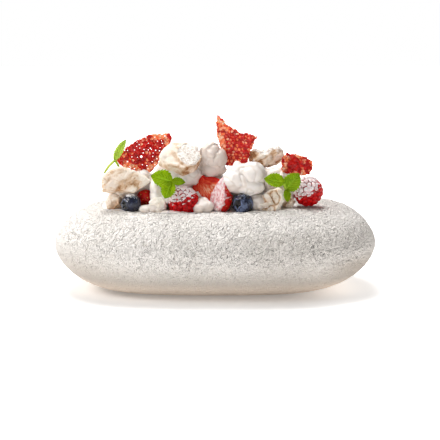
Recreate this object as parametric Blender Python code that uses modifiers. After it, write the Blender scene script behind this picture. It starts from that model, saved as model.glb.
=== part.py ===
"""A pavlova dessert heaped in its rough white pebble-shaped bowl.

Metres, +Z up. The origin is the centre of the bowl's flat foot, on the table. +X runs along the bowl's
length and -Y is its front. Soft cream is pressed round every hard piece that sits in it, with a hair gap.
"""

import math

import bmesh
import bpy
from mathutils import Euler, Matrix, Vector

MM = 0.001
GAP = 0.3 * MM
SWELL = 0.5 * MM

# The bowl
HALF_LENGTH = 109.2 * MM
HALF_WIDTH = 62.0 * MM
RIM_HEIGHT = 57.2 * MM
BELLY_HEIGHT = 32.9 * MM
PLAN_POWER = 2.83
LOWER_POWER = 1.79
UPPER_POWER = 1.69
FOOT_SHARE = (0.597, 0.45)
CROWN_SHARE = (0.733, 0.624)
RISE_TO_RIGHT = 0.0073
OPENING_CENTRE = -10.5 * MM
OPENING_HALF_LENGTH = 67.5 * MM
OPENING_HALF_WIDTH = 37.5 * MM
CAVITY_DEPTH = 30.0 * MM
LIP_WIDTH = 2.2 * MM
LIP_DEPTH = 2.4 * MM
FLOOR_INSET = 16.0 * MM
CAVITY_STEPS = 4
LOWER_LEVELS = (0.0, 0.06, 0.2, 0.42, 0.7)
UPPER_ANGLES = (4, 24, 40, 54, 67, 79, 89)
BOWL_SEGMENTS = 32

# The cream that fills it
CREAM_BELOW_RIM = 1.4 * MM
MOUND_RISE = 21.0 * MM
MOUND_CENTRE = -8.0 * MM
MOUND_HALF_LENGTH = 60.0 * MM
MOUND_HALF_WIDTH = 23.0 * MM
MOUND_BACK = 4.0 * MM
EDGE_DROP = 1.3 * MM
FILLING_SHARES = (1.0, 0.95, 0.75, 0.5, 0.25)

# Thin pieces
TUILE_THICKNESS = 1.7 * MM
LEAF_THICKNESS = 1.0 * MM
LEAF_FOLD = 0.35
LEAF_CURL = 1.6
STEM_RADIUS = 0.8 * MM
MERINGUE_CHAMFER = 1.6 * MM

COLOURS = {
    "bowl": (0.80, 0.78, 0.75, 1.0),
    "cream": (0.93, 0.92, 0.89, 1.0),
    "meringue": (0.88, 0.81, 0.70, 1.0),
    "sugar_lace": (0.55, 0.03, 0.02, 1.0),
    "raspberry": (0.45, 0.01, 0.03, 1.0),
    "blueberry": (0.03, 0.05, 0.12, 1.0),
    "strawberry": (0.62, 0.05, 0.03, 1.0),
    "mint": (0.20, 0.45, 0.02, 1.0),
}
ROUGHNESS = {
    "bowl": 0.85,
    "cream": 0.45,
    "meringue": 0.9,
    "sugar_lace": 0.15,
    "raspberry": 0.3,
    "blueberry": 0.5,
    "strawberry": 0.3,
    "mint": 0.5,
}


def clear_scene():
    for obj in list(bpy.data.objects):
        bpy.data.objects.remove(obj, do_unlink=True)


def new_collection(name):
    collection = bpy.data.collections.new(name)
    bpy.context.scene.collection.children.link(collection)
    return collection


def new_object(name, mesh, collection, place=(0, 0, 0), turn=(0, 0, 0)):
    """An object at a place in millimetres, with its turn in degrees."""
    obj = bpy.data.objects.new(name, mesh)
    obj.location = Vector(place) * MM
    obj.rotation_euler = Euler([math.radians(angle) for angle in turn])
    collection.objects.link(obj)
    return obj


def finish(obj, kind, sharp_angle=50):
    """Gives the piece its own material and smooth shading."""
    material = bpy.data.materials.new(obj.name)
    material.use_nodes = True
    shader = material.node_tree.nodes["Principled BSDF"]
    shader.inputs["Base Color"].default_value = COLOURS[kind]
    shader.inputs["Roughness"].default_value = ROUGHNESS[kind]
    obj.data.materials.append(material)
    obj.data.shade_smooth()
    obj.data.set_sharp_from_angle(angle=math.radians(sharp_angle))
    return obj


def mesh_of(bm, name):
    bmesh.ops.triangulate(bm, faces=bm.faces)
    bmesh.ops.recalc_face_normals(bm, faces=bm.faces)
    mesh = bpy.data.meshes.new(name)
    bm.to_mesh(mesh)
    bm.free()
    return mesh


# Bowl


def superellipse(angle, half_x, half_y, centre_x=0.0):
    cosine, sine = math.cos(angle), math.sin(angle)
    x = half_x * math.copysign(abs(cosine) ** (2 / PLAN_POWER), cosine)
    y = half_y * math.copysign(abs(sine) ** (2 / PLAN_POWER), sine)
    return centre_x + x, y


def plan_ring(half_x, half_y, z, centre_x=0.0):
    """A level ring of the bowl, which rises a little towards its right end."""
    ring = []
    for step in range(BOWL_SEGMENTS):
        x, y = superellipse(math.tau * step / BOWL_SEGMENTS, half_x, half_y, centre_x)
        ring.append(Vector((x, y, z + RISE_TO_RIGHT * x * z / RIM_HEIGHT)))
    return ring


def outer_ring(share, z):
    """The outer skin between the foot or the crown (share 0) and the belly (share 1)."""
    foot_or_crown = FOOT_SHARE if z < BELLY_HEIGHT else CROWN_SHARE
    half_x = HALF_LENGTH * (foot_or_crown[0] + (1 - foot_or_crown[0]) * share)
    half_y = HALF_WIDTH * (foot_or_crown[1] + (1 - foot_or_crown[1]) * share)
    return plan_ring(half_x, half_y, z)


def cavity_ring(inset, depth):
    return plan_ring(
        OPENING_HALF_LENGTH - inset, OPENING_HALF_WIDTH - inset, RIM_HEIGHT - depth, OPENING_CENTRE
    )


def cavity_profile():
    """(inset, depth) pairs down the cavity's wall, from just inside the lip to the edge of its floor."""
    profile = []
    for step in range(CAVITY_STEPS + 1):
        angle = math.pi / 2 * step / CAVITY_STEPS
        inset = FLOOR_INSET - (FLOOR_INSET - LIP_WIDTH) * math.cos(angle)
        depth = LIP_DEPTH + (CAVITY_DEPTH - LIP_DEPTH) * math.sin(angle) ** 0.9
        profile.append((inset, depth))
    return profile


def loft(rings, name):
    """A closed body through rings of equal length, with a flat fan at each end."""
    bm = bmesh.new()
    levels = [[bm.verts.new(point) for point in ring] for ring in rings]
    count = len(rings[0])
    for low, high in zip(levels, levels[1:]):
        for i in range(count):
            j = (i + 1) % count
            bm.faces.new((low[i], low[j], high[j], high[i]))
    for level in (levels[0], levels[-1]):
        centre = bm.verts.new(sum((v.co for v in level), Vector()) / count)
        for i in range(count):
            bm.faces.new((level[i], level[(i + 1) % count], centre))
    return mesh_of(bm, name)


def build_bowl(parts):
    rings = []
    for share_of_height in LOWER_LEVELS:
        bulge = (1 - (1 - share_of_height) ** LOWER_POWER) ** (1 / LOWER_POWER)
        rings.append(outer_ring(bulge, BELLY_HEIGHT * share_of_height))
    for degrees in UPPER_ANGLES:
        angle = math.radians(degrees)
        z = BELLY_HEIGHT + (RIM_HEIGHT - BELLY_HEIGHT) * math.sin(angle) ** (2 / UPPER_POWER)
        rings.append(outer_ring(math.cos(angle) ** (2 / UPPER_POWER), z))
    rings.append(cavity_ring(0.0, -0.25 * MM))
    rings.append(cavity_ring(1.2 * MM, 0.35 * MM))
    rings += [cavity_ring(inset, depth) for inset, depth in cavity_profile()]
    return finish(new_object("bowl", loft(rings, "bowl"), parts), "bowl", 60)


# Cream


def cream_height(x, y):
    """The top of the filling: near level behind the lip, and heaped in the middle."""
    across = ((x - MOUND_CENTRE) / MOUND_HALF_LENGTH) ** 2 + ((y - MOUND_BACK) / MOUND_HALF_WIDTH) ** 2
    mound = MOUND_RISE * max(0.0, 1 - across)
    ripple = 0.7 * MM * math.sin(x / (6 * MM)) * math.cos(y / (7 * MM) + x / (15 * MM))
    return RIM_HEIGHT - CREAM_BELOW_RIM + mound + ripple


def build_cream_filling(parts):
    wall = [(inset + 2 * GAP, depth - GAP) for inset, depth in cavity_profile()][2::2]
    rings = [cavity_ring(inset, depth) for inset, depth in reversed(wall)]
    rings[0] = [point + Vector((0, 0, GAP)) for point in rings[0]]
    half_x = OPENING_HALF_LENGTH - LIP_WIDTH - 2 * GAP
    half_y = OPENING_HALF_WIDTH - LIP_WIDTH - 2 * GAP
    for share in FILLING_SHARES:
        drop = EDGE_DROP * max(0.0, share - 0.95) / 0.05
        level = plan_ring(half_x * share, half_y * share, 0.0, OPENING_CENTRE)
        rings.append([Vector((x, y, cream_height(x, y) - drop)) for x, y, _ in level])
    return finish(new_object("cream_filling", loft(rings, "cream_filling"), parts), "cream")


def direction(azimuth, elevation):
    """Azimuth 0 is the front (-Y), 90 the right (+X); degrees."""
    a, e = math.radians(azimuth), math.radians(elevation)
    return Vector((math.sin(a) * math.cos(e), -math.cos(a) * math.cos(e), math.sin(e)))


def build_dollop(parts, name, place, radii, folds):
    """A soft lump of whipped cream. Each fold is (azimuth, elevation, height, width), height as a share."""
    bm = bmesh.new()
    bmesh.ops.create_uvsphere(bm, u_segments=12, v_segments=8, radius=1.0)
    for vert in bm.verts:
        way = vert.co.normalized()
        reach = 1.0
        for azimuth, elevation, height, width in folds:
            apart = way.angle(direction(azimuth, elevation))
            reach += height * math.exp(-((apart / math.radians(width)) ** 2))
        vert.co = Vector([way[i] * reach * radii[i] * MM for i in range(3)])
    return finish(new_object(name, mesh_of(bm, name), parts, place), "cream")


# Broken meringue


def build_meringue(parts, name, place, turn, outline, thickness, dome):
    """A broken slab of meringue. Its outline, in millimetres, faces the front before it is turned."""
    bm = bmesh.new()
    base = bm.faces.new([bm.verts.new((x * MM, y * MM, -thickness / 2 * MM)) for x, y in outline])
    walls = bmesh.ops.extrude_face_region(bm, geom=[base])
    top_verts = [item for item in walls["geom"] if isinstance(item, bmesh.types.BMVert)]
    bmesh.ops.translate(bm, verts=top_verts, vec=(0, 0, thickness * MM))
    top = next(item for item in walls["geom"] if isinstance(item, bmesh.types.BMFace))
    bmesh.ops.recalc_face_normals(bm, faces=bm.faces)
    for cap, rise in ((base, 0.3 * dome), (top, dome)):
        bmesh.ops.inset_region(bm, faces=[cap], thickness=MERINGUE_CHAMFER, depth=0.7 * MERINGUE_CHAMFER)
        outward = cap.normal.copy()
        poked = bmesh.ops.poke(bm, faces=[cap])
        for vert in poked["verts"]:
            vert.co += outward * rise * MM
    front = Matrix.Rotation(math.radians(90), 4, "X")
    bm.transform(front)
    return finish(new_object(name, mesh_of(bm, name), parts, place, turn), "meringue", 70)


# Sugar lace


def build_tuile(parts, name, place, turn, outline, bend):
    """A thin curved sheet of sugar lace. Its outline, in millimetres, faces the front before it is turned."""
    bm = bmesh.new()
    bm.faces.new([bm.verts.new((x * MM, y * MM, 0)) for x, y in outline])
    bmesh.ops.triangulate(bm, faces=bm.faces)
    bmesh.ops.subdivide_edges(bm, edges=bm.edges, cuts=1)
    bmesh.ops.triangulate(bm, faces=bm.faces)
    for vert in bm.verts:
        across = vert.co.x / (20 * MM)
        up = vert.co.y / (20 * MM)
        vert.co.z = bend * MM * (across * across - 0.4 * up * up + 0.3 * across * up)
    bm.transform(Matrix.Rotation(math.radians(90), 4, "X"))
    obj = new_object(name, mesh_of(bm, name), parts, place, turn)
    sheet = obj.modifiers.new("thickness", "SOLIDIFY")
    sheet.thickness = TUILE_THICKNESS
    sheet.offset = 0.0
    return finish(obj, "sugar_lace", 40)


# Fruit


def aim(obj, way, spin=0.0):
    """Points the object's own +Z along a way, after a spin about it in degrees."""
    about = Matrix.Rotation(math.radians(spin), 4, "Z")
    obj.rotation_euler = (way.to_track_quat("Z", "Y").to_matrix().to_4x4() @ about).to_euler()
    return obj


def build_raspberry(parts, name, place, way, radius, height):
    """A raspberry: rows of drupelets round a blunt cone, its own +Z towards the tip."""
    bm = bmesh.new()
    segments, rows = 14, 9
    bmesh.ops.create_uvsphere(bm, u_segments=segments, v_segments=rows, radius=1.0)
    for vert in bm.verts:
        latitude = math.asin(max(-1.0, min(1.0, vert.co.z)))
        longitude = math.atan2(vert.co.y, vert.co.x)
        row = round((latitude / math.pi + 0.5) * rows)
        column = round(longitude / math.tau * segments)
        bump = 1.05 if (row + column) % 2 else 0.95
        taper = 1.0 - 0.16 * vert.co.z
        vert.co.x *= radius * MM * bump * taper
        vert.co.y *= radius * MM * bump * taper
        vert.co.z *= height / 2 * MM * (1 + (bump - 1) * abs(vert.co.z))
    return aim(finish(new_object(name, mesh_of(bm, name), parts, place), "raspberry", 80), way)


def build_blueberry(parts, name, place, way, radius):
    """A blueberry, a little flat, with its crown round a pit at its own +Z."""
    bm = bmesh.new()
    bmesh.ops.create_uvsphere(bm, u_segments=15, v_segments=8, radius=1.0)
    for vert in bm.verts:
        from_crown = vert.co.normalized().angle(Vector((0, 0, 1)))
        longitude = math.atan2(vert.co.y, vert.co.x)
        pit = 0.22 * math.exp(-((from_crown / 0.26) ** 2))
        points = 0.75 + 0.25 * math.cos(5 * longitude)
        crown = 0.09 * points * math.exp(-(((from_crown - 0.46) / 0.13) ** 2))
        vert.co *= radius * MM * (1 - pit + crown)
        vert.co.z *= 0.9
    return aim(finish(new_object(name, mesh_of(bm, name), parts, place), "blueberry", 80), way)


def build_strawberry(parts, name, place, way, radius, height, cuts):
    """A strawberry whose tip points along a way. Each cut is (azimuth, elevation, share of radius)."""
    bm = bmesh.new()
    bmesh.ops.create_uvsphere(bm, u_segments=12, v_segments=8, radius=1.0)
    for vert in bm.verts:
        down = (1 - vert.co.z) / 2
        width = radius * MM * (1.12 * down**0.55 if down < 0.5 else 1.0) ** 0.6
        vert.co.x *= width
        vert.co.y *= width
        vert.co.z *= height / 2 * MM
    own_frame = way.to_track_quat("Z", "Y").inverted()
    for azimuth, elevation, share in cuts:
        outward = own_frame @ direction(azimuth, elevation)
        geometry = list(bm.verts) + list(bm.edges) + list(bm.faces)
        bmesh.ops.bisect_plane(
            bm,
            geom=geometry,
            dist=1e-7,
            plane_co=outward * share * radius * MM,
            plane_no=outward,
            clear_outer=True,
        )
        rim = [edge for edge in bm.edges if edge.is_boundary]
        bmesh.ops.edgeloop_fill(bm, edges=rim)
    return aim(finish(new_object(name, mesh_of(bm, name), parts, place), "strawberry", 60), way)


# Mint


def leaf_mesh(name, length, width):
    """A toothed leaf along +Y from its stalk, folded up along its midrib and curled down at its tip."""
    bm = bmesh.new()
    steps = 4
    rows = []
    for step in range(steps + 1):
        along = step / steps
        half = width / 2 * math.sin(math.pi * min(0.97, 0.06 + 0.94 * along) ** 0.8) ** 0.75
        half *= 1.0 + (0.07 if step % 2 else -0.05)
        y = length * (along - 0.04)
        z = -LEAF_CURL * along * along
        raised = z + LEAF_FOLD * half
        row = [(-half, y, raised), (0.0, y, z), (half, y, raised)]
        rows.append([bm.verts.new(Vector(point) * MM) for point in row])
    for low, high in zip(rows, rows[1:]):
        for left, right in ((0, 1), (1, 2)):
            bm.faces.new((low[left], low[right], high[right], high[left]))
    mesh = bpy.data.meshes.new(name)
    bm.to_mesh(mesh)
    bm.free()
    return mesh


def build_sprig(parts, helpers, name, place, leaves, stalk_way, stalk_length):
    """A mint sprig. Each leaf is (start, way it points, way its face looks, length, width); millimetres."""
    bm = bmesh.new()
    bmesh.ops.create_uvsphere(bm, u_segments=8, v_segments=4, radius=1.4 * STEM_RADIUS)
    sprig = new_object(name, mesh_of(bm, name), parts, place)
    pieces = []
    for number, (start, along, face, length, width) in enumerate(leaves):
        leaf = new_object(f"{name}_leaf_{number}", leaf_mesh(name, length, width), helpers)
        y_axis = Vector(along).normalized()
        z_axis = (Vector(face) - y_axis * Vector(face).dot(y_axis)).normalized()
        x_axis = y_axis.cross(z_axis)
        turned = Matrix((x_axis, y_axis, z_axis)).transposed().to_4x4()
        leaf.matrix_world = Matrix.Translation((Vector(place) + Vector(start)) * MM) @ turned
        blade = leaf.modifiers.new("thickness", "SOLIDIFY")
        blade.thickness = LEAF_THICKNESS
        blade.offset = 0.0
        pieces.append(leaf)
    bm = bmesh.new()
    bmesh.ops.create_cone(
        bm,
        cap_ends=True,
        segments=6,
        radius1=STEM_RADIUS,
        radius2=STEM_RADIUS,
        depth=stalk_length * MM,
        matrix=Matrix.Translation((0, 0, stalk_length / 2 * MM)),
    )
    stalk = new_object(f"{name}_stalk", mesh_of(bm, name), helpers, place)
    pieces.append(aim(stalk, Vector(stalk_way)))
    for piece in pieces:
        hide(piece)
        union = sprig.modifiers.new(piece.name, "BOOLEAN")
        union.operation = "UNION"
        union.solver = "EXACT"
        union.object = piece
    return finish(sprig, "mint", 60)


# Pressing the cream round what sits in it


def hide(obj):
    obj.hide_render = True
    obj.display_type = "WIRE"


class Press:
    """What a hard or finished piece leaves in soft cream: a swollen copy of it, and the box that holds it."""

    def __init__(self, obj, helpers):
        graph = bpy.context.evaluated_depsgraph_get()
        mesh = bpy.data.meshes.new_from_object(obj.evaluated_get(graph))
        mesh.transform(obj.matrix_world)
        bm = bmesh.new()
        bm.from_mesh(mesh)
        bmesh.ops.triangulate(bm, faces=bm.faces)
        bmesh.ops.remove_doubles(bm, verts=bm.verts, dist=0.001 * MM)
        bm.normal_update()
        moves = [vert.normal * SWELL for vert in bm.verts]
        for vert, move in zip(bm.verts, moves):
            vert.co += move
        bm.to_mesh(mesh)
        bm.free()
        self.box = box_of(mesh)
        self.cutter = bpy.data.objects.new(f"{obj.name}_hollow", mesh)
        helpers.objects.link(self.cutter)
        hide(self.cutter)


def box_of(mesh):
    points = [vert.co for vert in mesh.vertices]
    return tuple(Vector([pick(point[i] for point in points) for i in range(3)]) for pick in (min, max))


def boxes_meet(first, second):
    return all(first[0][i] < second[1][i] and second[0][i] < first[1][i] for i in range(3))


def keep_largest_body(obj):
    """Applies the modifiers and drops any crumb that a cut has parted from the piece."""
    graph = bpy.context.evaluated_depsgraph_get()
    mesh = bpy.data.meshes.new_from_object(obj.evaluated_get(graph))
    obj.modifiers.clear()
    bm = bmesh.new()
    bm.from_mesh(mesh)
    bmesh.ops.triangulate(bm, faces=bm.faces)
    bmesh.ops.remove_doubles(bm, verts=bm.verts, dist=0.0005 * MM)
    unseen = set(bm.verts)
    bodies = []
    while unseen:
        body = set()
        waiting = [unseen.pop()]
        while waiting:
            vert = waiting.pop()
            body.add(vert)
            for edge in vert.link_edges:
                other = edge.other_vert(vert)
                if other in unseen:
                    unseen.discard(other)
                    waiting.append(other)
        bodies.append(body)
    largest = max(bodies, key=len)
    crumbs = [vert for vert in bm.verts if vert not in largest]
    bmesh.ops.delete(bm, geom=crumbs, context="VERTS")
    bm.to_mesh(mesh)
    bm.free()
    obj.data = mesh


def press_round(soft, own, presses):
    """Cuts every piece that meets the soft one out of it, with a hair gap."""
    for other in presses:
        if boxes_meet(own.box, other.box):
            cut = soft.modifiers.new(other.cutter.name, "BOOLEAN")
            cut.operation = "DIFFERENCE"
            cut.solver = "EXACT"
            cut.object = other.cutter
    bpy.context.view_layer.update()
    keep_largest_body(soft)


def build_creams(parts):
    """The dollops, from the front left to the back right."""
    lumps = (
        (
            "cream_front_left",
            (-38.5, -17.0, 69.5),
            (10.5, 9.0, 10.0),
            ((-30, 20, 0.10, 40), (40, -30, 0.12, 35), (70, 50, -0.10, 30)),
        ),
        (
            "cream_dollop",
            (20.0, -20.0, 77.0),
            (15.0, 11.0, 11.5),
            (
                (-40, 55, 0.30, 26),
                (50, 50, 0.26, 28),
                (10, 70, -0.14, 22),
                (-70, 0, 0.10, 35),
                (15, -40, 0.10, 30),
            ),
        ),
        (
            "cream_right",
            (45.0, -9.0, 71.5),
            (12.0, 10.0, 10.5),
            ((60, 40, 0.14, 35), (-30, 30, 0.10, 30), (180, 30, 0.10, 45)),
        ),
        (
            "cream_under_slab",
            (-25.0, -7.0, 78.0),
            (15.5, 10.5, 9.5),
            ((-70, 30, 0.12, 35), (30, -20, 0.14, 40), (180, 10, 0.12, 45)),
        ),
        (
            "cream_peak",
            (-2.0, -3.5, 87.0),
            (10.0, 8.5, 11.8),
            ((-20, 75, 0.22, 26), (80, 30, 0.12, 35), (0, -10, 0.10, 40)),
        ),
        (
            "cream_back_left",
            (-51.0, 1.0, 71.0),
            (15.0, 13.0, 10.5),
            ((-60, 40, 0.10, 35), (200, 30, 0.16, 35), (120, 50, 0.12, 30)),
        ),
        (
            "cream_back_right",
            (27.0, 11.0, 76.0),
            (14.0, 11.0, 8.5),
            ((160, 35, 0.20, 30), (230, 30, 0.16, 30), (40, 60, -0.08, 30)),
        ),
    )
    return [build_dollop(parts, *lump) for lump in lumps]


def build_meringues(parts):
    slabs = (
        (
            "meringue_left",
            (-59.0, -19.0, 74.8),
            (-18, 4, 6),
            ((-17, 2), (-11, 8), (-5, 10), (4, 8), (13, 4), (16, 1), (9, -4), (5, -7), (-4, -7), (-16, -7)),
            8.5,
            1.3,
        ),
        (
            "meringue_front_left",
            (-67.4, -15.8, 60.4),
            (-25, 10, -30),
            ((-5, 3), (-2, 6), (4, 5), (6, 0), (4, -5), (-1, -6), (-5, -2)),
            7.0,
            1.0,
        ),
        (
            "meringue_slab",
            (-23.3, -13.0, 89.8),
            (-48, 4, 4),
            ((-14.5, -4), (-12, 6), (-6, 12), (4, 12), (12, 9), (14, -1), (10, -9), (2, -12), (-8, -9)),
            6.5,
            1.0,
        ),
        (
            "meringue_small",
            (-37.6, -24.5, 60.6),
            (-15, 0, -8),
            ((-6, 1), (-3, 5), (2, 5.5), (5, 2), (4.5, -3), (1, -6), (-4, -5)),
            6.5,
            0.8,
        ),
        (
            "meringue_right",
            (36.0, 4.0, 88.4),
            (-22, -6, 5),
            (
                (-12.5, -4),
                (-12.5, 5),
                (-9, 7),
                (-4, 5),
                (2, 6),
                (8, 6.5),
                (11, 3),
                (11, -1),
                (6, -5),
                (0, -6),
                (-7, -6),
            ),
            9.0,
            1.3,
        ),
        (
            "meringue_front_right",
            (37.6, -21.3, 63.2),
            (-8, 0, 4),
            ((-10, -7), (-9.5, 0), (-6, 3), (0, 7), (6, 8), (9, 4), (8, -2), (6, -7), (-2, -8)),
            9.0,
            1.2,
        ),
        (
            "meringue_corner",
            (48.9, -15.4, 61.3),
            (-20, 0, 40),
            ((-4, -2), (-2, 4), (3, 4), (4, -1), (0, -5)),
            6.0,
            0.8,
        ),
        (
            "meringue_back_left",
            (-38.0, 22.0, 68.0),
            (28, 0, 170),
            ((-13, -4), (-10, 6), (-2, 9), (8, 6), (13, -1), (7, -7), (-5, -8)),
            9.0,
            1.3,
        ),
        (
            "meringue_back_right",
            (31.5, 24.0, 64.0),
            (20, 5, 188),
            ((-11, -3), (-8, 5), (0, 8), (9, 5), (11, -2), (4, -7), (-6, -7)),
            8.0,
            1.2,
        ),
    )
    return [build_meringue(parts, *slab) for slab in slabs]


def build_tuiles(parts):
    sheets = (
        (
            "tuile_left",
            (-47.0, -2.5, 92.2),
            (-8, 0, 0),
            (
                (-22, -5.5),
                (-17, 2),
                (-11, 6),
                (-5, 10),
                (2, 13),
                (16, 14),
                (18, 11),
                (16, 4),
                (14, -2),
                (9, -5),
                (6, -10),
                (1, -15),
                (-6, -13),
                (-14, -10),
            ),
            -2.0,
        ),
        (
            "tuile_tall",
            (13.0, 0.5, 99.0),
            (-6, 0, -8),
            (
                (-12, 19),
                (-12.5, 13),
                (-12, 5),
                (-9, -5),
                (-6, -16),
                (8, -17),
                (12, -3),
                (15, 4),
                (10, 6),
                (5, 6),
                (-1, 9),
                (-6, 13),
            ),
            1.8,
        ),
        (
            "tuile_right",
            (55.0, -8.5, 85.8),
            (-14, 0, 10),
            ((-11, -3), (-10, 5), (-6, 8), (-1, 7), (7, 5), (11, 2), (11, -3), (8, -7), (0, -8), (-7, -7)),
            1.5,
        ),
    )
    return [build_tuile(parts, *sheet) for sheet in sheets]


def build_fruit(parts):
    """Raspberries, blueberries and cut strawberries."""
    strawberries = (
        ("strawberry_cut", (-4.0, -12.6, 69.0), direction(62, 30), 11.0, 26.0, ((-12, 18, 0.10),)),
        ("strawberry_half", (4.0, -24.4, 66.8), direction(10, 78), 7.8, 26.0, ((-50, 12, 0.35),)),
        ("strawberry_slice", (-46.2, -13.5, 63.4), direction(60, -30), 6.4, 14.0, ((180, 20, 0.1),)),
        ("strawberry_back", (9.5, 23.0, 63.5), direction(200, 20), 10.0, 22.0, ((180, 50, 0.2),)),
    )
    return [
        build_raspberry(parts, "raspberry_left", (-21.3, -22.6, 62.6), direction(-30, 55), 10.4, 21.5),
        build_raspberry(parts, "raspberry_right", (61.6, -17.5, 69.2), direction(-35, 40), 10.0, 20.5),
        build_raspberry(parts, "raspberry_back", (-11.0, 22.0, 65.0), direction(150, 50), 10.0, 20.5),
        build_blueberry(parts, "blueberry_left", (-56.0, -22.6, 60.8), direction(-62, 5), 7.2),
        build_blueberry(parts, "blueberry_right", (18.6, -25.5, 61.3), direction(-38, 8), 7.4),
        build_blueberry(parts, "blueberry_back", (-57.5, 17.5, 61.0), direction(200, 35), 7.0),
        build_blueberry(parts, "blueberry_back_right", (47.5, 14.5, 61.5), direction(130, 30), 7.3),
        *[build_strawberry(parts, *berry) for berry in strawberries],
    ]


def build_mint(parts, helpers):
    sprigs = (
        (
            "mint_far_left",
            (-67.5, -11.0, 88.8),
            (
                ((0, 0, 0), (7, 1, 14), (-3, -10, 2), 15.5, 5.4),
                ((0, 0, 0), (-8, -3, -7), (-3, -2, 9), 11.0, 3.2),
            ),
            (5, 4, -9),
            12.0,
        ),
        (
            "mint_left",
            (-28.5, -31.5, 77.5),
            (
                ((0, 0, 0), (-14, -2, 5), (1, -10, 4), 15.0, 12.0),
                ((0, 0, 0), (-5, -2, -11), (-2, -10, 1), 12.5, 10.0),
                ((0, 0, 0), (9, 0, 0.5), (0, -8, 6), 9.5, 6.0),
            ),
            (1, 9, -1),
            9.0,
        ),
        (
            "mint_right",
            (45.5, -30.0, 76.0),
            (
                ((0, 0, 0), (-13, -1, 3.5), (1, -9, 5), 13.5, 9.5),
                ((1.6, 1.5, -4.6), (8.5, -1, 11), (1, -10, 3), 14.0, 11.5),
                ((1.6, 1.5, -4.6), (1.5, -2, -8), (2, -9, 1), 8.5, 5.0),
            ),
            (2.2, 3.0, -6.5),
            10.0,
        ),
    )
    return [build_sprig(parts, helpers, *sprig) for sprig in sprigs]


def build():
    clear_scene()
    parts = new_collection("pavlova")
    helpers = new_collection("cutters")
    build_bowl(parts)
    hard = build_meringues(parts) + build_tuiles(parts) + build_fruit(parts) + build_mint(parts, helpers)
    creams = [build_cream_filling(parts)] + build_creams(parts)
    bpy.context.view_layer.update()
    presses = [Press(obj, helpers) for obj in hard]
    for cream in creams:
        own = Press(cream, helpers)
        press_round(cream, own, presses)
        presses.append(own)


build()
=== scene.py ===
"""The looks of the pavlova: rough white bowl, whipped cream, broken meringue, sugar lace, fruit and mint."""

import math
import random

import bmesh
import bpy
import numpy as np
from mathutils import Matrix, Vector


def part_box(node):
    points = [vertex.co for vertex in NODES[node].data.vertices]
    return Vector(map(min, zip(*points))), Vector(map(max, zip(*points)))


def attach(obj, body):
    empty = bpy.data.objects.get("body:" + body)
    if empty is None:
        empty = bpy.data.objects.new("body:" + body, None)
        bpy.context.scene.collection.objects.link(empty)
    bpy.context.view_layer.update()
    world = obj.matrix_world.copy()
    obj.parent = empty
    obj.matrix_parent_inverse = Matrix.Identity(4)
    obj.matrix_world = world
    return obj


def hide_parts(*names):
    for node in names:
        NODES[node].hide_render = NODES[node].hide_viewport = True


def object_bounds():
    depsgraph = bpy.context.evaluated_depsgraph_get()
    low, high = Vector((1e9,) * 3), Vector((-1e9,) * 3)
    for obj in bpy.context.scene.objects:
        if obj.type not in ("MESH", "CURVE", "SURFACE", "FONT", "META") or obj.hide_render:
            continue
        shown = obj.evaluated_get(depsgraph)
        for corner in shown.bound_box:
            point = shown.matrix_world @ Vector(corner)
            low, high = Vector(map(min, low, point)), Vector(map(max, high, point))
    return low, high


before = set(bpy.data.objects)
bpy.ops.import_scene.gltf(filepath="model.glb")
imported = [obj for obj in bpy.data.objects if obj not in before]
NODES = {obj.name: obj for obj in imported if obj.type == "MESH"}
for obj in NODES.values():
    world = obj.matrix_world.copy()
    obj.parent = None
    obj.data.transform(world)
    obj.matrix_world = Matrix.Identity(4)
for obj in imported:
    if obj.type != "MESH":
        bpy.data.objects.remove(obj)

CAD_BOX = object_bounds()
MM = 0.001

# How finely the remeshed skins are divided.
WHIPPED_VOXEL = 0.55 * MM
BETWEEN_VOXEL = 0.68 * MM
MERINGUE_VOXEL = 0.42 * MM
STRAWBERRY_VOXEL = 0.36 * MM
RANGE_SOCKETS = ("From Min", "From Max", "To Min", "To Max")
GOLDEN_ANGLE = 2.399963

# Small tools


def srgb(red, green, blue):
    """A colour given as it looks on screen, 0 to 255, as the linear colour that shaders take."""
    channels = [value / 255 for value in (red, green, blue)]
    return tuple(c / 12.92 if c <= 0.04045 else ((c + 0.055) / 1.055) ** 2.4 for c in channels) + (1.0,)


def node_box(name):
    """(centre, half size) of a CAD node, as arrays in metres."""
    low, high = (np.array(corner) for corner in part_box(name))
    return (low + high) / 2, (high - low) / 2


def lattice(cells, seed, channels):
    """Pseudo-random numbers from -1 to 1 at whole-number lattice points."""
    c = cells.astype(np.int64).astype(np.uint64)
    mixed = c[..., 0] * np.uint64(73856093) ^ c[..., 1] * np.uint64(19349663)
    mixed = mixed ^ c[..., 2] * np.uint64(83492791) ^ np.uint64(seed * 2654435761 % 2**32)
    found = []
    for channel in range(channels):
        value = (mixed + np.uint64(channel * 40503 + 1)) * np.uint64(2246822519)
        value = (value ^ (value >> np.uint64(15))) * np.uint64(3266489917)
        value = (value ^ (value >> np.uint64(13))) & np.uint64(0xFFFFFF)
        found.append(value.astype(np.float64) / 0x7FFFFF - 1)
    return np.stack(found, -1)


def noise(points, size, seed=0):
    """Gradient noise, about -1 to 1, with features of about that size in metres."""
    scaled = np.asarray(points) / size
    cell = np.floor(scaled)
    inside = scaled - cell
    fade = inside**3 * (inside * (inside * 6 - 15) + 10)
    total = np.zeros(len(scaled))
    for corner in np.ndindex(2, 2, 2):
        corner = np.array(corner)
        slope = lattice(cell + corner, seed, 3)
        weight = np.prod(np.where(corner, fade, 1 - fade), axis=1)
        total += weight * np.sum(slope * (inside - corner), axis=1)
    return total * 1.4


def fractal(points, size, octaves, seed=0, gain=0.5):
    total = np.zeros(len(points))
    for octave in range(octaves):
        total += gain**octave * noise(points, size / 2**octave, seed + 17 * octave)
    return total


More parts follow.
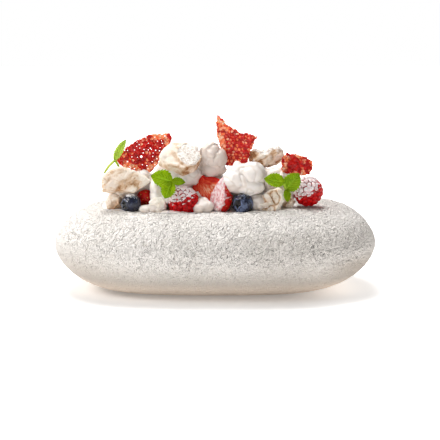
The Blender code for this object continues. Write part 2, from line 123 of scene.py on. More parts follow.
def ridged(points, size, octaves, seed=0):
    """Noise with sharp crests, 0 to about 1."""
    total = np.zeros(len(points))
    for octave in range(octaves):
        total += 0.5**octave * (1 - np.abs(noise(points, size / 2**octave, seed + 31 * octave))) ** 2
    return total / (2 - 0.5 ** (octaves - 1))


def cells(points, size, seed=0):
    """(distance to the nearest scattered point, to the second nearest), in cell sizes."""
    scaled = np.asarray(points) / size
    cell = np.floor(scaled)
    nearest = np.full(len(scaled), 9.0)
    second = np.full(len(scaled), 9.0)
    for step in np.ndindex(3, 3, 3):
        home = cell + np.array(step) - 1
        apart = np.linalg.norm(home + 0.5 + 0.42 * lattice(home, seed, 3) - scaled, axis=1)
        second = np.minimum(second, np.maximum(nearest, apart))
        nearest = np.minimum(nearest, apart)
    return nearest, second


def smoothstep(low, high, value):
    share = np.clip((value - low) / (high - low), 0, 1)
    return share * share * (3 - 2 * share)


def swirled(points, size, reach, seed):
    """The points pushed about by noise, so that what is worked out from them bends."""
    return points + reach * np.stack([noise(points, size, seed + k) for k in range(3)], 1)


def new_piece(name, mesh, material, slot, *replaced):
    """A visible piece on the one body, in place of the CAD nodes named."""
    obj = bpy.data.objects.new(name, mesh)
    bpy.context.scene.collection.objects.link(obj)
    mesh.shade_smooth()
    mesh.materials.clear()
    mesh.materials.append(material)
    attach(obj, "root")
    if replaced:
        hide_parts(*replaced)
    return obj


def mesh_from(name, points, faces):
    mesh = bpy.data.meshes.new(name)
    mesh.from_pydata(np.asarray(points).tolist(), [], [tuple(face) for face in faces])
    mesh.validate()
    return mesh


def joined(name, parts, faces):
    """One mesh of many copies of a shape, each with its own points."""
    count = len(parts[0])
    moved = [tuple(i + number * count for i in face) for number in range(len(parts)) for face in faces]
    return mesh_from(name, np.vstack(parts), moved)


def coordinates(mesh):
    flat = np.empty(len(mesh.vertices) * 3, np.float32)
    mesh.vertices.foreach_get("co", flat)
    return flat.reshape(-1, 3).astype(np.float64)


def normals(mesh):
    flat = np.empty(len(mesh.vertices) * 3, np.float32)
    mesh.vertices.foreach_get("normal", flat)
    return flat.reshape(-1, 3).astype(np.float64)


def set_coordinates(mesh, points):
    mesh.vertices.foreach_set("co", np.ascontiguousarray(points, np.float32).ravel())
    mesh.update()


def set_attribute(mesh, name, values):
    """A number on each vertex, which the materials read."""
    layer = mesh.attributes.new(name, "FLOAT", "POINT")
    layer.data.foreach_set("value", np.ascontiguousarray(values, np.float32))


def loft_faces(rings, count):
    """Quads between rings of equal length, and a fan at each end round the last two points."""
    faces = []
    for ring in range(rings - 1):
        low, high = ring * count, (ring + 1) * count
        for i in range(count):
            j = (i + 1) % count
            faces.append((low + i, low + j, high + j, high + i))
    first, last, top = rings * count, rings * count + 1, (rings - 1) * count
    for i in range(count):
        j = (i + 1) % count
        faces.append((first, j, i))
        faces.append((last, top + i, top + j))
    return faces


def remeshed(mesh, voxel, smoothing, name):
    """One closed skin over everything in the mesh, then smoothed."""
    obj = bpy.data.objects.new(name, mesh)
    bpy.context.scene.collection.objects.link(obj)
    remesh = obj.modifiers.new("skin", "REMESH")
    remesh.mode = "VOXEL"
    remesh.voxel_size = voxel
    relax = obj.modifiers.new("relax", "SMOOTH")
    relax.factor = 0.5
    relax.iterations = smoothing
    graph = bpy.context.evaluated_depsgraph_get()
    made = bpy.data.meshes.new_from_object(obj.evaluated_get(graph))
    made.name = name
    bpy.data.objects.remove(obj)
    bpy.data.meshes.remove(mesh)
    return made


class Shader:
    """A short way to write a node material."""

    def __init__(self, name):
        self.material = bpy.data.materials.new(name)
        self.material.use_nodes = True
        self.tree = self.material.node_tree
        self.surface = self.tree.nodes["Principled BSDF"]
        self.place = self.node("ShaderNodeTexCoord").outputs["Object"]

    def node(self, kind, **inputs):
        made = self.tree.nodes.new(kind)
        for key, value in inputs.items():
            self.set(made, key.replace("_", " "), value)
        return made

    def set(self, node, socket, value):
        """Sets a node property, or an input socket to a value or to another node's output."""
        name = socket.replace(" ", "_").lower()
        if socket not in node.inputs and hasattr(node, name):
            setattr(node, name, value)
        elif isinstance(value, bpy.types.NodeSocket):
            self.tree.links.new(value, node.inputs[socket])
        else:
            node.inputs[socket].default_value = value

    def principled(self, **inputs):
        for key, value in inputs.items():
            self.set(self.surface, key.replace("_", " "), value)

    def noise(self, size, detail=2.0, rough=0.5, place=None):
        texture = self.node("ShaderNodeTexNoise", Vector=place or self.place, Scale=1 / size)
        texture.inputs["Detail"].default_value = detail
        texture.inputs["Roughness"].default_value = rough
        return texture.outputs["Fac"]

    def ramp(self, factor, *stops):
        """A colour ramp; each stop is (place, colour)."""
        ramp = self.node("ShaderNodeValToRGB", Fac=factor)
        elements = ramp.color_ramp.elements
        while len(elements) < len(stops):
            elements.new(0.5)
        for element, (position, colour) in zip(elements, stops):
            element.position = position
            element.color = colour
        return ramp.outputs["Color"]

    def band(self, factor, low, high, out_low=0.0, out_high=1.0):
        """Maps low..high to out_low..out_high, smoothly and clamped."""
        made = self.node("ShaderNodeMapRange", Value=factor)
        made.interpolation_type = "SMOOTHSTEP"
        for socket, value in zip(RANGE_SOCKETS, (low, high, out_low, out_high)):
            made.inputs[socket].default_value = value
        return made.outputs["Result"]

    def mix(self, factor, first, second):
        made = self.node("ShaderNodeMix")
        made.data_type = "RGBA"
        for index, value in ((0, factor), (6, first), (7, second)):
            if isinstance(value, bpy.types.NodeSocket):
                self.tree.links.new(value, made.inputs[index])
            else:
                made.inputs[index].default_value = value
        return made.outputs[2]

    def math(self, operation, first, second=0.0):
        made = self.node("ShaderNodeMath")
        made.operation = operation
        for index, value in enumerate((first, second)):
            if isinstance(value, bpy.types.NodeSocket):
                self.tree.links.new(value, made.inputs[index])
            else:
                made.inputs[index].default_value = value
        return made.outputs[0]

    def attribute(self, name):
        made = self.node("ShaderNodeAttribute")
        made.attribute_name = name
        return made.outputs["Fac"]

    def uneven(self, value, texture, strength, middle=0.5):
        """The value, moved up and down by a texture about its middle."""
        swing = self.math("MULTIPLY", self.math("SUBTRACT", texture, middle), strength)
        return self.math("ADD", value, swing)

    def subsurface(self, weight, *reach):
        """Light that sinks in: how much, and how far in millimetres for red, green and blue."""
        self.principled(Subsurface_Weight=weight, Subsurface_Scale=1.0)
        self.surface.inputs["Subsurface Radius"].default_value = tuple(value * MM for value in reach)

    def bump(self, height, distance, strength=1.0, under=None):
        made = self.node("ShaderNodeBump", Height=height, Distance=distance, Strength=strength)
        if under is not None:
            self.tree.links.new(under, made.inputs["Normal"])
        self.tree.links.new(made.outputs["Normal"], self.surface.inputs["Normal"])
        return made.outputs["Normal"]


# Bowl

PLAN_POWER = 2.83
LOWER_POWER = 1.79
UPPER_POWER = 1.69
FOOT_SHARE = (0.597, 0.45)
CROWN_SHARE = (0.733, 0.624)
RISE_TO_RIGHT = 0.0073
RIM_HEIGHT = 57.2 * MM
BELLY_HEIGHT = 32.9 * MM
OPENING_CENTRE = -10.5 * MM
OPENING_HALF = (67.5 * MM, 37.5 * MM)
BOWL_AROUND = 570
BOWL_LOWER_RINGS = 62
BOWL_UPPER_RINGS = 68
# The way the bowl's grain runs, the sizes of its lumps and creases, and the turn of its finest grain in degrees.
GRAIN_WAY = np.array([0.66, 0.25, 0.71])
LUMP_SIZE = 2.3 * MM
CREASE_SIZE = 3.2 * MM
FINE_GRAIN_TURN = -62
# How far in from the opening's edge and below the rim the lip and the cavity's wall go, in millimetres.
LIP = ((0.0, -0.25), (0.7, 0.0), (1.4, 0.8), (1.9, 1.8), (2.3, 3.0), (3.0, 8.0), (7.0, 20.0), (16.0, 29.8))
BOWL_HALF = node_box("bowl")[1]
BOWL_HALF_LENGTH = BOWL_HALF[0] + 0.2 * MM
BOWL_HALF_WIDTH = BOWL_HALF[1] + 0.1 * MM


def plan_ring(half_x, half_y, z, count, centre=0.0):
    angle = np.arange(count) * math.tau / count
    cosine, sine = np.cos(angle), np.sin(angle)
    x = centre + half_x * np.sign(cosine) * np.abs(cosine) ** (2 / PLAN_POWER)
    y = half_y * np.sign(sine) * np.abs(sine) ** (2 / PLAN_POWER)
    return np.stack([x, y, z + RISE_TO_RIGHT * x * z / RIM_HEIGHT], 1)


def even_ring(half_x, half_y, z, count, centre=0.0):
    """The same ring with its points evenly spaced along it."""
    fine = plan_ring(half_x, half_y, z, 4 * count, centre)
    closed = np.vstack([fine, fine[:1]])
    run = np.concatenate([[0], np.cumsum(np.linalg.norm(np.diff(closed, axis=0), axis=1))])
    stops = np.linspace(0, run[-1], count, endpoint=False)
    return np.stack([np.interp(stops, run, closed[:, axis]) for axis in range(3)], 1)


def outer_ring(share, z, count):
    foot_or_crown = FOOT_SHARE if z < BELLY_HEIGHT else CROWN_SHARE
    half_x = BOWL_HALF_LENGTH * (foot_or_crown[0] + (1 - foot_or_crown[0]) * share)
    half_y = BOWL_HALF_WIDTH * (foot_or_crown[1] + (1 - foot_or_crown[1]) * share)
    return even_ring(half_x, half_y, z, count)


def bowl_mesh():
    """The whole bowl as one closed skin: foot, belly, crown, lip and cavity, with its relief."""
    count = BOWL_AROUND
    rings = [even_ring(FOOT_SHARE[0] * BOWL_HALF_LENGTH * k, FOOT_SHARE[1] * BOWL_HALF_WIDTH * k, 0.0, count)
             for k in (0.4, 0.8, 0.97)]
    fade = [0.0] * len(rings)
    for t in np.linspace(0.0, 1.0, BOWL_LOWER_RINGS)[:-1] ** 1.6:
        bulge = (1 - (1 - t) ** LOWER_POWER) ** (1 / LOWER_POWER)
        rings.append(outer_ring(bulge, BELLY_HEIGHT * t, count))
        fade.append(float(smoothstep(0.0, 1.5 * MM, BELLY_HEIGHT * t)))
    for angle in np.radians(np.linspace(0.0, 89.6, BOWL_UPPER_RINGS)):
        z = BELLY_HEIGHT + (RIM_HEIGHT - BELLY_HEIGHT) * math.sin(angle) ** (2 / UPPER_POWER)
        rings.append(outer_ring(math.cos(angle) ** (2 / UPPER_POWER), z, count))
        fade.append(1.0)
    crown = rings[-1]
    for inset, depth in LIP:
        half_x, half_y = OPENING_HALF[0] - inset * MM, OPENING_HALF[1] - inset * MM
        ring = even_ring(half_x, half_y, RIM_HEIGHT - depth * MM, count, OPENING_CENTRE)
        if inset == 0.0:
            for share in (0.2, 0.4, 0.6, 0.8):
                between = crown + (ring - crown) * share
                between[:, 2] += 0.25 * MM * math.sin(math.pi * share)
                rings.append(between)
                fade.append(1.0)
        rings.append(ring)
        fade.append(1.0 if depth < 2 else 0.0)
    points = np.vstack(rings)
    ends = np.array([rings[0].mean(0), rings[-1].mean(0)])
    mesh = mesh_from("bowl_skin", np.vstack([points, ends]), loft_faces(len(rings), count))
    weight = np.concatenate([np.repeat(fade, count), [0, 0]])
    return roughened_bowl(mesh, weight)


def roughened_bowl(mesh, weight):
    """Presses the hammered, pitted relief into the bowl's skin."""
    points = coordinates(mesh)
    along = GRAIN_WAY / np.linalg.norm(GRAIN_WAY)
    warped = swirled(points, 11 * MM, 2.0 * MM, 1)
    streaky = warped - np.outer(warped @ along, along) * 0.25
    lumps = fractal(streaky, LUMP_SIZE, 2, 5, 0.6)
    creases = ridged(streaky, CREASE_SIZE, 2, 9)
    broad = fractal(points, 22 * MM, 2, 11)
    patchy = 0.7 + 0.4 * smoothstep(-0.4, 0.5, noise(points, 26 * MM, 13))
    relief = patchy * (0.58 * lumps + 0.3 * (creases - 0.62))
    mesh_normals = normals(mesh)
    relief = relief * (0.45 + 0.55 * smoothstep(6 * MM, 34 * MM, points[:, 2]))
    height = weight * (relief * MM + 0.25 * MM * broad - 0.3 * MM)
    set_coordinates(mesh, points + mesh_normals * height[:, None])
    set_attribute(mesh, "relief", relief * weight)
    smooth_side = 0.9 + 0.1 * smoothstep(-70 * MM, -20 * MM, points[:, 0])
    # Painted shade: the colour is darkened at the bowl's lower ends, more at the right end, and a little over
    # the right side below the rim.
    ends = smoothstep(55 * MM, 95 * MM, np.abs(points[:, 0])) * smoothstep(38 * MM, 20 * MM, points[:, 2])
    ends = ends * (0.6 + 0.4 * smoothstep(0, 30 * MM, points[:, 0]))
    right = 0.25 * smoothstep(0, 45 * MM, points[:, 0]) * smoothstep(54 * MM, 42 * MM, points[:, 2])
    set_attribute(mesh, "ends", np.maximum(ends, right))
    # How strong the fine grain is: weaker lower down, a little weaker on the left. The same number darkens the
    # colour lower down, which is painted shade.
    set_attribute(mesh, "grain_and_painted_shade", smooth_side * (0.34 + 0.66 * smoothstep(6 * MM, 34 * MM, points[:, 2])))
    return mesh


def bowl_material():
    m = Shader("porcelain")
    pit = m.band(m.attribute("relief"), -0.6, 0.0)
    cloud = m.noise(28 * MM, 3.0)
    grain_and_painted_shade = m.attribute("grain_and_painted_shade")
    base = m.mix(m.band(cloud, 0.35, 0.7), srgb(238, 233, 227), srgb(242, 237, 232))
    # Painted shade: the low places of the relief are coloured a little darker.
    pit_shaded_colour = m.mix(pit, srgb(231, 224, 217), base)
    # Painted shade: where the grain is weak, lower down, the colour is darker.
    body = m.mix(m.band(grain_and_painted_shade, 0.2, 0.95), srgb(191, 182, 172), pit_shaded_colour)
    # Painted shade at the lower ends and on the right side.
    body = m.mix(m.attribute("ends"), body, srgb(184, 174, 164))
    # Painted light: the lowest few millimetres are lighter and warmer, standing in for light thrown up from the
    # floor.
    height = m.node("ShaderNodeSeparateXYZ", Vector=m.place)
    colour = m.mix(m.band(height.outputs["Z"], 5.0 * MM, 15.0 * MM), srgb(234, 219, 204), body)
    m.principled(Base_Color=colour, Roughness=m.band(cloud, 0.3, 0.7, 0.82, 0.95))
    m.principled(Specular_IOR_Level=0.25)
    grain_place = m.node("ShaderNodeMapping", Vector=m.place)
    grain_place.vector_type = "TEXTURE"
    grain_place.inputs["Rotation"].default_value = (0, math.radians(FINE_GRAIN_TURN), 0)
    grain_place.inputs["Scale"].default_value = (1.35, 1.1, 1.0)
    fine = m.noise(0.98 * MM, 1.0, 0.5, grain_place.outputs["Vector"])
    wavy = m.noise(1.6 * MM, 1.0, 0.5, grain_place.outputs["Vector"])
    first = m.bump(m.math("MULTIPLY", wavy, grain_and_painted_shade), 1.9 * MM)
    m.bump(m.math("MULTIPLY", fine, grain_and_painted_shade), 2.9 * MM, 1.0, first)
    return m.material


new_piece("bowl_skin", bowl_mesh(), bowl_material(), "bowl", "bowl")


# Placing pieces


def direction(azimuth, elevation):
    """Azimuth 0 is the front (-Y), 90 the right (+X), in degrees."""
    a, e = math.radians(azimuth), math.radians(elevation)
    return np.array([math.sin(a) * math.cos(e), -math.cos(a) * math.cos(e), math.sin(e)])


def aimed(way):
    """The turn, as a 3 x 3 array, that points a piece's own +Z along a way."""
    return np.array(Vector(way).to_track_quat("Z", "Y").to_matrix())


def turned(degrees):
    return np.array(Matrix.Rotation(math.radians(degrees[2]), 3, "Z")
                    @ Matrix.Rotation(math.radians(degrees[1]), 3, "Y")
                    @ Matrix.Rotation(math.radians(degrees[0]), 3, "X"))


def settle(points, node, even=True):
    """Sizes the points to the node's box, evenly or side by side, and centres them in it."""
    centre, half = node_box(node)
    low, high = points.min(0), points.max(0)
    ratio = half / ((high - low) / 2)
    if even:
        ratio = np.prod(ratio) ** (1 / 3)
    return (points - (low + high) / 2) * ratio + centre


def icosphere(subdivisions):
    """(points, triangles) of a unit sphere."""
    maker = bmesh.new()
    bmesh.ops.create_icosphere(maker, subdivisions=subdivisions, radius=1.0)
    points = np.array([vert.co[:] for vert in maker.verts])
    faces = [tuple(vert.index for vert in face.verts) for face in maker.faces]
    maker.free()
    return points / np.linalg.norm(points, axis=1)[:, None], faces


# Whipped cream


def cream_material():
    m = Shader("cream")
    # Painted shade: the cream is darker in the troughs between its folds.
    fold_painted_shade = m.band(m.attribute("fold_painted_shade"), 0.0, 1.0)
    white = m.mix(fold_painted_shade, srgb(214, 205, 196), srgb(230, 225, 220))
    # Painted shade: a warm grey-beige mixed in, as much as each piece is given.
    colour = m.mix(m.attribute("warm"), white, srgb(206, 188, 176))
    m.principled(Base_Color=colour, Roughness=0.36, Specular_IOR_Level=0.36)
    m.subsurface(0.25, 2.4, 2.0, 1.5)
    m.bump(m.noise(3.0 * MM, 2.0), 0.12 * MM)
    return m.material


CREAM = cream_material()


# How much painted shade, a warm grey-beige, each dollop's cream is given.
PAINTED_CREAM_SHADE = {
    "cream_dollop": 0.18,
    "cream_peak": 0.58,
    "cream_right": 0.6,
    "cream_front_left": 0.15,
    "cream_under_slab": 0.15,
}
# What some dollops are squeezed to and moved by, in millimetres, to leave their neighbours in view.
SQUEEZED = {"cream_front_left": ((0.76, 1.0, 0.96), (2.6, 0.0, 0.0))}
FOLDED = {"cream_peak": 1.35, "cream_front_left": 0.7}


# How far the filling stays in from the wall of the bowl.
EDGE_GAP = 0.9 * MM


def cream_height(x, y):
    """The top of the filling, in millimetres, above any place in millimetres."""
    mound = np.maximum(0, 1 - ((x + 8) / 60) ** 2 - ((y - 4) / 23) ** 2)
    ripple = 0.7 * np.sin(x / 6) * np.cos(y / 7 + x / 15)
    return RIM_HEIGHT / MM - 0.5 + 21 * mound + ripple


def cream_filling():
    """The cream inside the bowl, spread to its wall, with spooned folds on top."""
    count, steps = 250, 56
    rings = []
    for share in (np.arange(1, steps + 1) / steps) ** 0.9:
        ring = even_ring((OPENING_HALF[0] - EDGE_GAP) * share, (OPENING_HALF[1] - EDGE_GAP) * share,
                         0.0, count, OPENING_CENTRE)
        rings.append(ring)
    points = np.vstack(rings[::-1])
    x, y = points[:, 0] / MM, points[:, 1] / MM
    points[:, 2] = cream_height(x, y) * MM
    warped = swirled(points, 16 * MM, 7 * MM, 41)
    folds = ridged(warped, 13 * MM, 2, 44)
    edge = np.repeat(np.linspace(0.0, 1.0, steps) ** 0.5, count)
    raised = 0.25 + 0.75 * edge
    points[:, 2] += (2.6 * MM * (folds - 0.62) + 0.5 * MM * fractal(warped, 5 * MM, 2, 45)) * raised
    under = [(1.2, 3.0), (2.5, 10.0), (9.0, 22.0), (22.0, 27.0)]
    skirt = []
    for inset, depth in under:
        ring = even_ring(OPENING_HALF[0] - inset * MM - EDGE_GAP, OPENING_HALF[1] - inset * MM - EDGE_GAP,
                         RIM_HEIGHT - depth * MM, count, OPENING_CENTRE)
        skirt.append(ring)
    whole = np.vstack(skirt[::-1] + [points])
    rings_total = len(skirt) + steps
    ends = np.array([skirt[-1].mean(0), points[-count:].mean(0)])
    mesh = mesh_from("cream_spread", np.vstack([whole, ends]), loft_faces(rings_total, count))
    hidden = np.ones(len(skirt) * count)
    set_attribute(mesh, "fold_painted_shade", np.concatenate([hidden, smoothstep(0.25, 0.75, folds), [1, 1]]))
    set_attribute(mesh, "warm", np.full(len(whole) + 2, 0.0))
    new_piece("cream_spread", mesh, CREAM, "cream", "cream_filling")


# Each dollop's lobes: centre and radii as shares of the dollop's half sizes, and a tilt about the view, in
# degrees.
LOBES = {
    "cream_dollop": (
        ((0.0, 0.1, -0.45), (0.84, 0.85, 0.52), 0),
        ((-0.44, -0.10, -0.15), (0.54, 0.84, 0.62), 12),
        ((-0.20, 0.0, 0.34), (0.46, 0.64, 0.48), 24),
        ((-0.27, 0.0, 0.72), (0.14, 0.34, 0.24), 24),
        ((0.38, -0.02, 0.22), (0.60, 0.84, 0.60), -10),
        ((0.40, 0.0, 0.58), (0.46, 0.56, 0.36), 0),
        ((0.28, -0.20, -0.46), (0.60, 0.72, 0.48), 0),
        ((0.00, -0.66, -0.06), (0.11, 0.26, 0.34), 22),
    ),
    "cream_peak": (
        ((0.0, 0.0, -0.50), (0.88, 0.92, 0.50), 0),
        ((-0.12, 0.0, 0.10), (0.72, 0.84, 0.74), 10),
        ((0.42, 0.0, -0.05), (0.52, 0.80, 0.66), -14),
        ((-0.02, 0.0, 0.55), (0.52, 0.66, 0.44), 0),
        ((-0.02, -0.62, 0.10), (0.13, 0.30, 0.50), 10),
        ((0.30, -0.60, -0.02), (0.13, 0.30, 0.50), -16),
        ((-0.42, -0.52, -0.10), (0.16, 0.30, 0.46), 20),
    ),
    "cream_right": (
        ((0.0, 0.0, -0.35), (0.92, 0.94, 0.60), 0),
        ((-0.30, -0.20, 0.15), (0.56, 0.66, 0.56), 20),
        ((0.42, -0.10, 0.10), (0.50, 0.72, 0.56), -20),
        ((0.10, 0.20, 0.50), (0.56, 0.62, 0.44), 0),
        ((-0.55, -0.25, -0.10), (0.36, 0.52, 0.48), 10),
        ((0.15, -0.50, -0.20), (0.50, 0.42, 0.46), -15),
    ),
    "cream_under_slab": (
        ((0.0, 0.0, -0.35), (0.94, 0.92, 0.58), 0),
        ((-0.52, -0.10, 0.10), (0.42, 0.80, 0.60), 25),
        ((0.10, -0.25, 0.25), (0.60, 0.66, 0.62), -10),
        ((0.55, -0.10, 0.0), (0.42, 0.76, 0.66), -20),
        ((-0.20, 0.30, 0.45), (0.56, 0.56, 0.46), 0),
        ((-0.70, -0.20, -0.35), (0.28, 0.56, 0.42), 10),
    ),
    "cream_front_left": (
        ((0.0, 0.1, -0.30), (0.92, 0.86, 0.66), 0),
        ((-0.40, -0.10, 0.30), (0.52, 0.76, 0.60), -20),
        ((0.38, -0.20, 0.10), (0.56, 0.70, 0.50), 16),
        ((-0.30, -0.36, -0.42), (0.56, 0.56, 0.46), -8),
        ((0.42, -0.42, -0.48), (0.50, 0.50, 0.40), 10),
        ((0.10, 0.20, 0.60), (0.60, 0.60, 0.36), 0),
    ),
}
PLAIN_LOBES = 9


def lobes_for(node, source):
    """The table's lobes, or for a dollop that only shows from behind, lobes scattered over a rounded heap."""
    if node in LOBES:
        return LOBES[node]
    found = [((0.0, 0.0, -0.3), (0.92, 0.92, 0.6), 0)]
    for number in range(PLAIN_LOBES):
        angle = math.tau * (number + source.uniform(-0.2, 0.2)) / PLAIN_LOBES
        rise = source.uniform(-0.2, 0.55)
        reach = 0.62 * math.sqrt(1 - rise * rise)
        size = source.uniform(0.34, 0.5)
        place = (reach * math.cos(angle), reach * math.sin(angle), rise)
        found.append((place, (size, size, size * 0.95), source.uniform(-25, 25)))
    return found


def whipped(node, seed):
    """A spooned dollop: overlapping lobes under one skin, with soft creases and fine folds."""
    source = random.Random(seed)
    centre, half = node_box(node)
    sphere, faces = icosphere(5)
    lobes = []
    for place, radii, tilt in lobes_for(node, source):
        turn = np.array(Matrix.Rotation(math.radians(-tilt), 3, "Y"))
        lobes.append((sphere * np.array(radii)) * half @ turn.T + np.array(place) * half)
    mesh = remeshed(joined(node, lobes, faces), WHIPPED_VOXEL, 18, node + "_whipped")
    points = coordinates(mesh)
    warped = swirled(points, 10 * MM, 5.0 * MM, seed + 1)
    folds = np.abs(noise(warped, 10.0 * MM, seed + 4)) ** 0.7
    crests = ridged(warped, 9 * MM, 1, seed + 5) ** 5
    relief = FOLDED.get(node, 1.0) * MM * (1.5 * folds + 0.6 * crests)
    relief = relief + 0.08 * MM * fractal(warped, 3.5 * MM, 2, seed + 7)
    points = points + normals(mesh) * relief[:, None]
    squeeze, move = SQUEEZED.get(node, ((1.0, 1.0, 1.0), (0.0, 0.0, 0.0)))
    points = (settle(points, node, even=False) - centre) * np.array(squeeze) + centre + np.array(move) * MM
    set_coordinates(mesh, points)
    set_attribute(mesh, "fold_painted_shade", smoothstep(0.0, 0.3, folds))
    set_attribute(mesh, "warm", np.full(len(points), PAINTED_CREAM_SHADE.get(node, 0.0)))
    new_piece(node + "_whipped", mesh, CREAM, "cream", node)


# Smaller lumps of cream between the pieces: centre, radii, in millimetres.
EXTRA_CREAM = (
    ((-64.0, -3.0, 64.5), (9.5, 9.0, 7.0)),
    ((28.5, -21.5, 61.5), (8.0, 7.0, 7.0)),
    ((44.5, -13.0, 66.5), (9.0, 7.5, 8.0)),
    ((31.0, -3.0, 76.5), (9.5, 8.0, 7.5)),
    ((41.5, -5.0, 77.0), (8.5, 7.5, 7.0)),
    ((-10.0, -27.5, 58.6), (5.5, 5.0, 4.2)),
    ((-5.0, -26.5, 59.6), (5.0, 5.0, 4.8)),
    ((-8.0, -23.5, 61.5), (4.6, 4.2, 4.4)),
    ((-46.5, -25.0, 57.2), (5.4, 5.4, 3.8)),
    ((-41.0, -25.0, 58.2), (5.0, 5.0, 4.6)),
    ((-31.0, -15.5, 66.0), (9.5, 7.0, 9.0)),
    ((7.5, -12.0, 66.0), (9.0, 7.5, 9.0)),
    ((-9.0, -16.0, 57.5), (10.0, 7.0, 6.0)),
)


def cream_between():
    """The lumps of cream that the fruit and the meringue sit in, as one piece."""
    sphere, faces = icosphere(4)
    source = random.Random(77)
    lobes = []
    for centre, radii in EXTRA_CREAM:
        for number in range(5):
            shift = np.array([source.uniform(-0.45, 0.45) for _ in range(3)]) * (number > 0)
            size = 1.0 if number == 0 else source.uniform(0.5, 0.72)
            lobes.append((sphere * size + shift) * np.array(radii) * MM * 0.9 + np.array(centre) * MM)
    mesh = remeshed(joined("between", lobes, faces), BETWEEN_VOXEL, 7, "cream_between")
    points = coordinates(mesh)
    warped = swirled(points, 9 * MM, 5 * MM, 81)
    folds = np.abs(noise(warped, 8 * MM, 84)) ** 0.8
    relief = MM * (1.3 * folds - 0.3 + 0.15 * fractal(warped, 3.5 * MM, 2, 85))
    set_coordinates(mesh, points + normals(mesh) * relief[:, None])
    set_attribute(mesh, "fold_painted_shade", smoothstep(0.0, 0.3, folds))
    # Painted shade: these lumps between the pieces get a quarter of the warm grey-beige.
    set_attribute(mesh, "warm", np.full(len(points), 0.25))
    new_piece("cream_between", mesh, CREAM, "cream")


# Meringue


def meringue_material():
    m = Shader("meringue")
    # This number is both real browning and painted shade: hollows, pores, cracks, grooves and downward faces are
    # made darker and browner through it.
    browning_and_painted_shade = m.attribute("browning_and_painted_shade")
    chalk = m.attribute("chalk")
    grain = m.noise(1.1 * MM, 3.0, 0.6)
    mottled = m.uneven(browning_and_painted_shade, grain, 0.55)
    crumb = m.ramp(
        mottled,
        (0.0, srgb(238, 232, 223)),
        (0.35, srgb(230, 214, 197)),
        (0.62, srgb(210, 183, 156)),
        (0.88, srgb(178, 140, 105)),
        (1.0, srgb(146, 98, 62)),
    )
    speck = m.band(m.noise(1.5 * MM, 3.0, 0.65), 0.44, 0.62)
    strong = m.math("ADD", 0.45, m.math("MULTIPLY", m.attribute("specks"), 0.4))
    powder = m.mix(m.math("MULTIPLY", speck, strong), srgb(236, 231, 225), srgb(186, 170, 156))
    dusted = m.uneven(chalk, m.noise(1.6 * MM, 3.0), 0.8)
    colour = m.mix(m.band(dusted, 0.35, 0.65), crumb, powder)
    m.principled(Base_Color=colour, Roughness=0.85, Specular_IOR_Level=0.2)
    m.subsurface(0.12, 1.6, 1.1, 0.8)
    crust = m.bump(m.noise(1.5 * MM, 3.0, 0.6), 0.35 * MM)
    m.bump(m.noise(0.5 * MM, 2.0), 0.10 * MM, 1.0, crust)
    return m.material


MERINGUE = meringue_material()

# For each broken piece: how brown, how craggy and how dusted it is, how far right its smooth crust starts (as
# a share of the half length), how deep a hollow its front has in millimetres, and the seed.
BROKEN = {
    "meringue_left": (0.58, 0.75, 0.12, 0.5, 1.0, 101),
    "meringue_front_left": (0.52, 0.9, 0.2, 9.0, 3.6, 102),
    "meringue_small": (0.12, 1.5, 0.3, 9.0, 0.0, 104),
    "meringue_right": (0.6, 0.7, 0.75, 9.0, 0.0, 105),
    "meringue_front_right": (0.3, 1.9, 0.2, 9.0, 1.0, 106),
    "meringue_corner": (0.35, 0.8, 0.3, 9.0, 2.0, 107),
    "meringue_back_left": (0.40, 1.0, 0.8, 9.0, 0.0, 108),
    "meringue_back_right": (0.40, 1.0, 0.8, 9.0, 0.0, 109),
}


# How deeply some pieces are cracked through their folds.
CRACKED = {"meringue_front_right": 1.0, "meringue_corner": 0.6, "meringue_right": 0.4}
# How toasted the lower left end of some pieces is, and how speckled their powder.
TOASTED_END = {"meringue_right": 0.8}
SPECKLED = {"meringue_right": 1.5}

# The way the brown streaks run across a broken face.
SLANT = np.array([0.8, 0.0, 0.6])


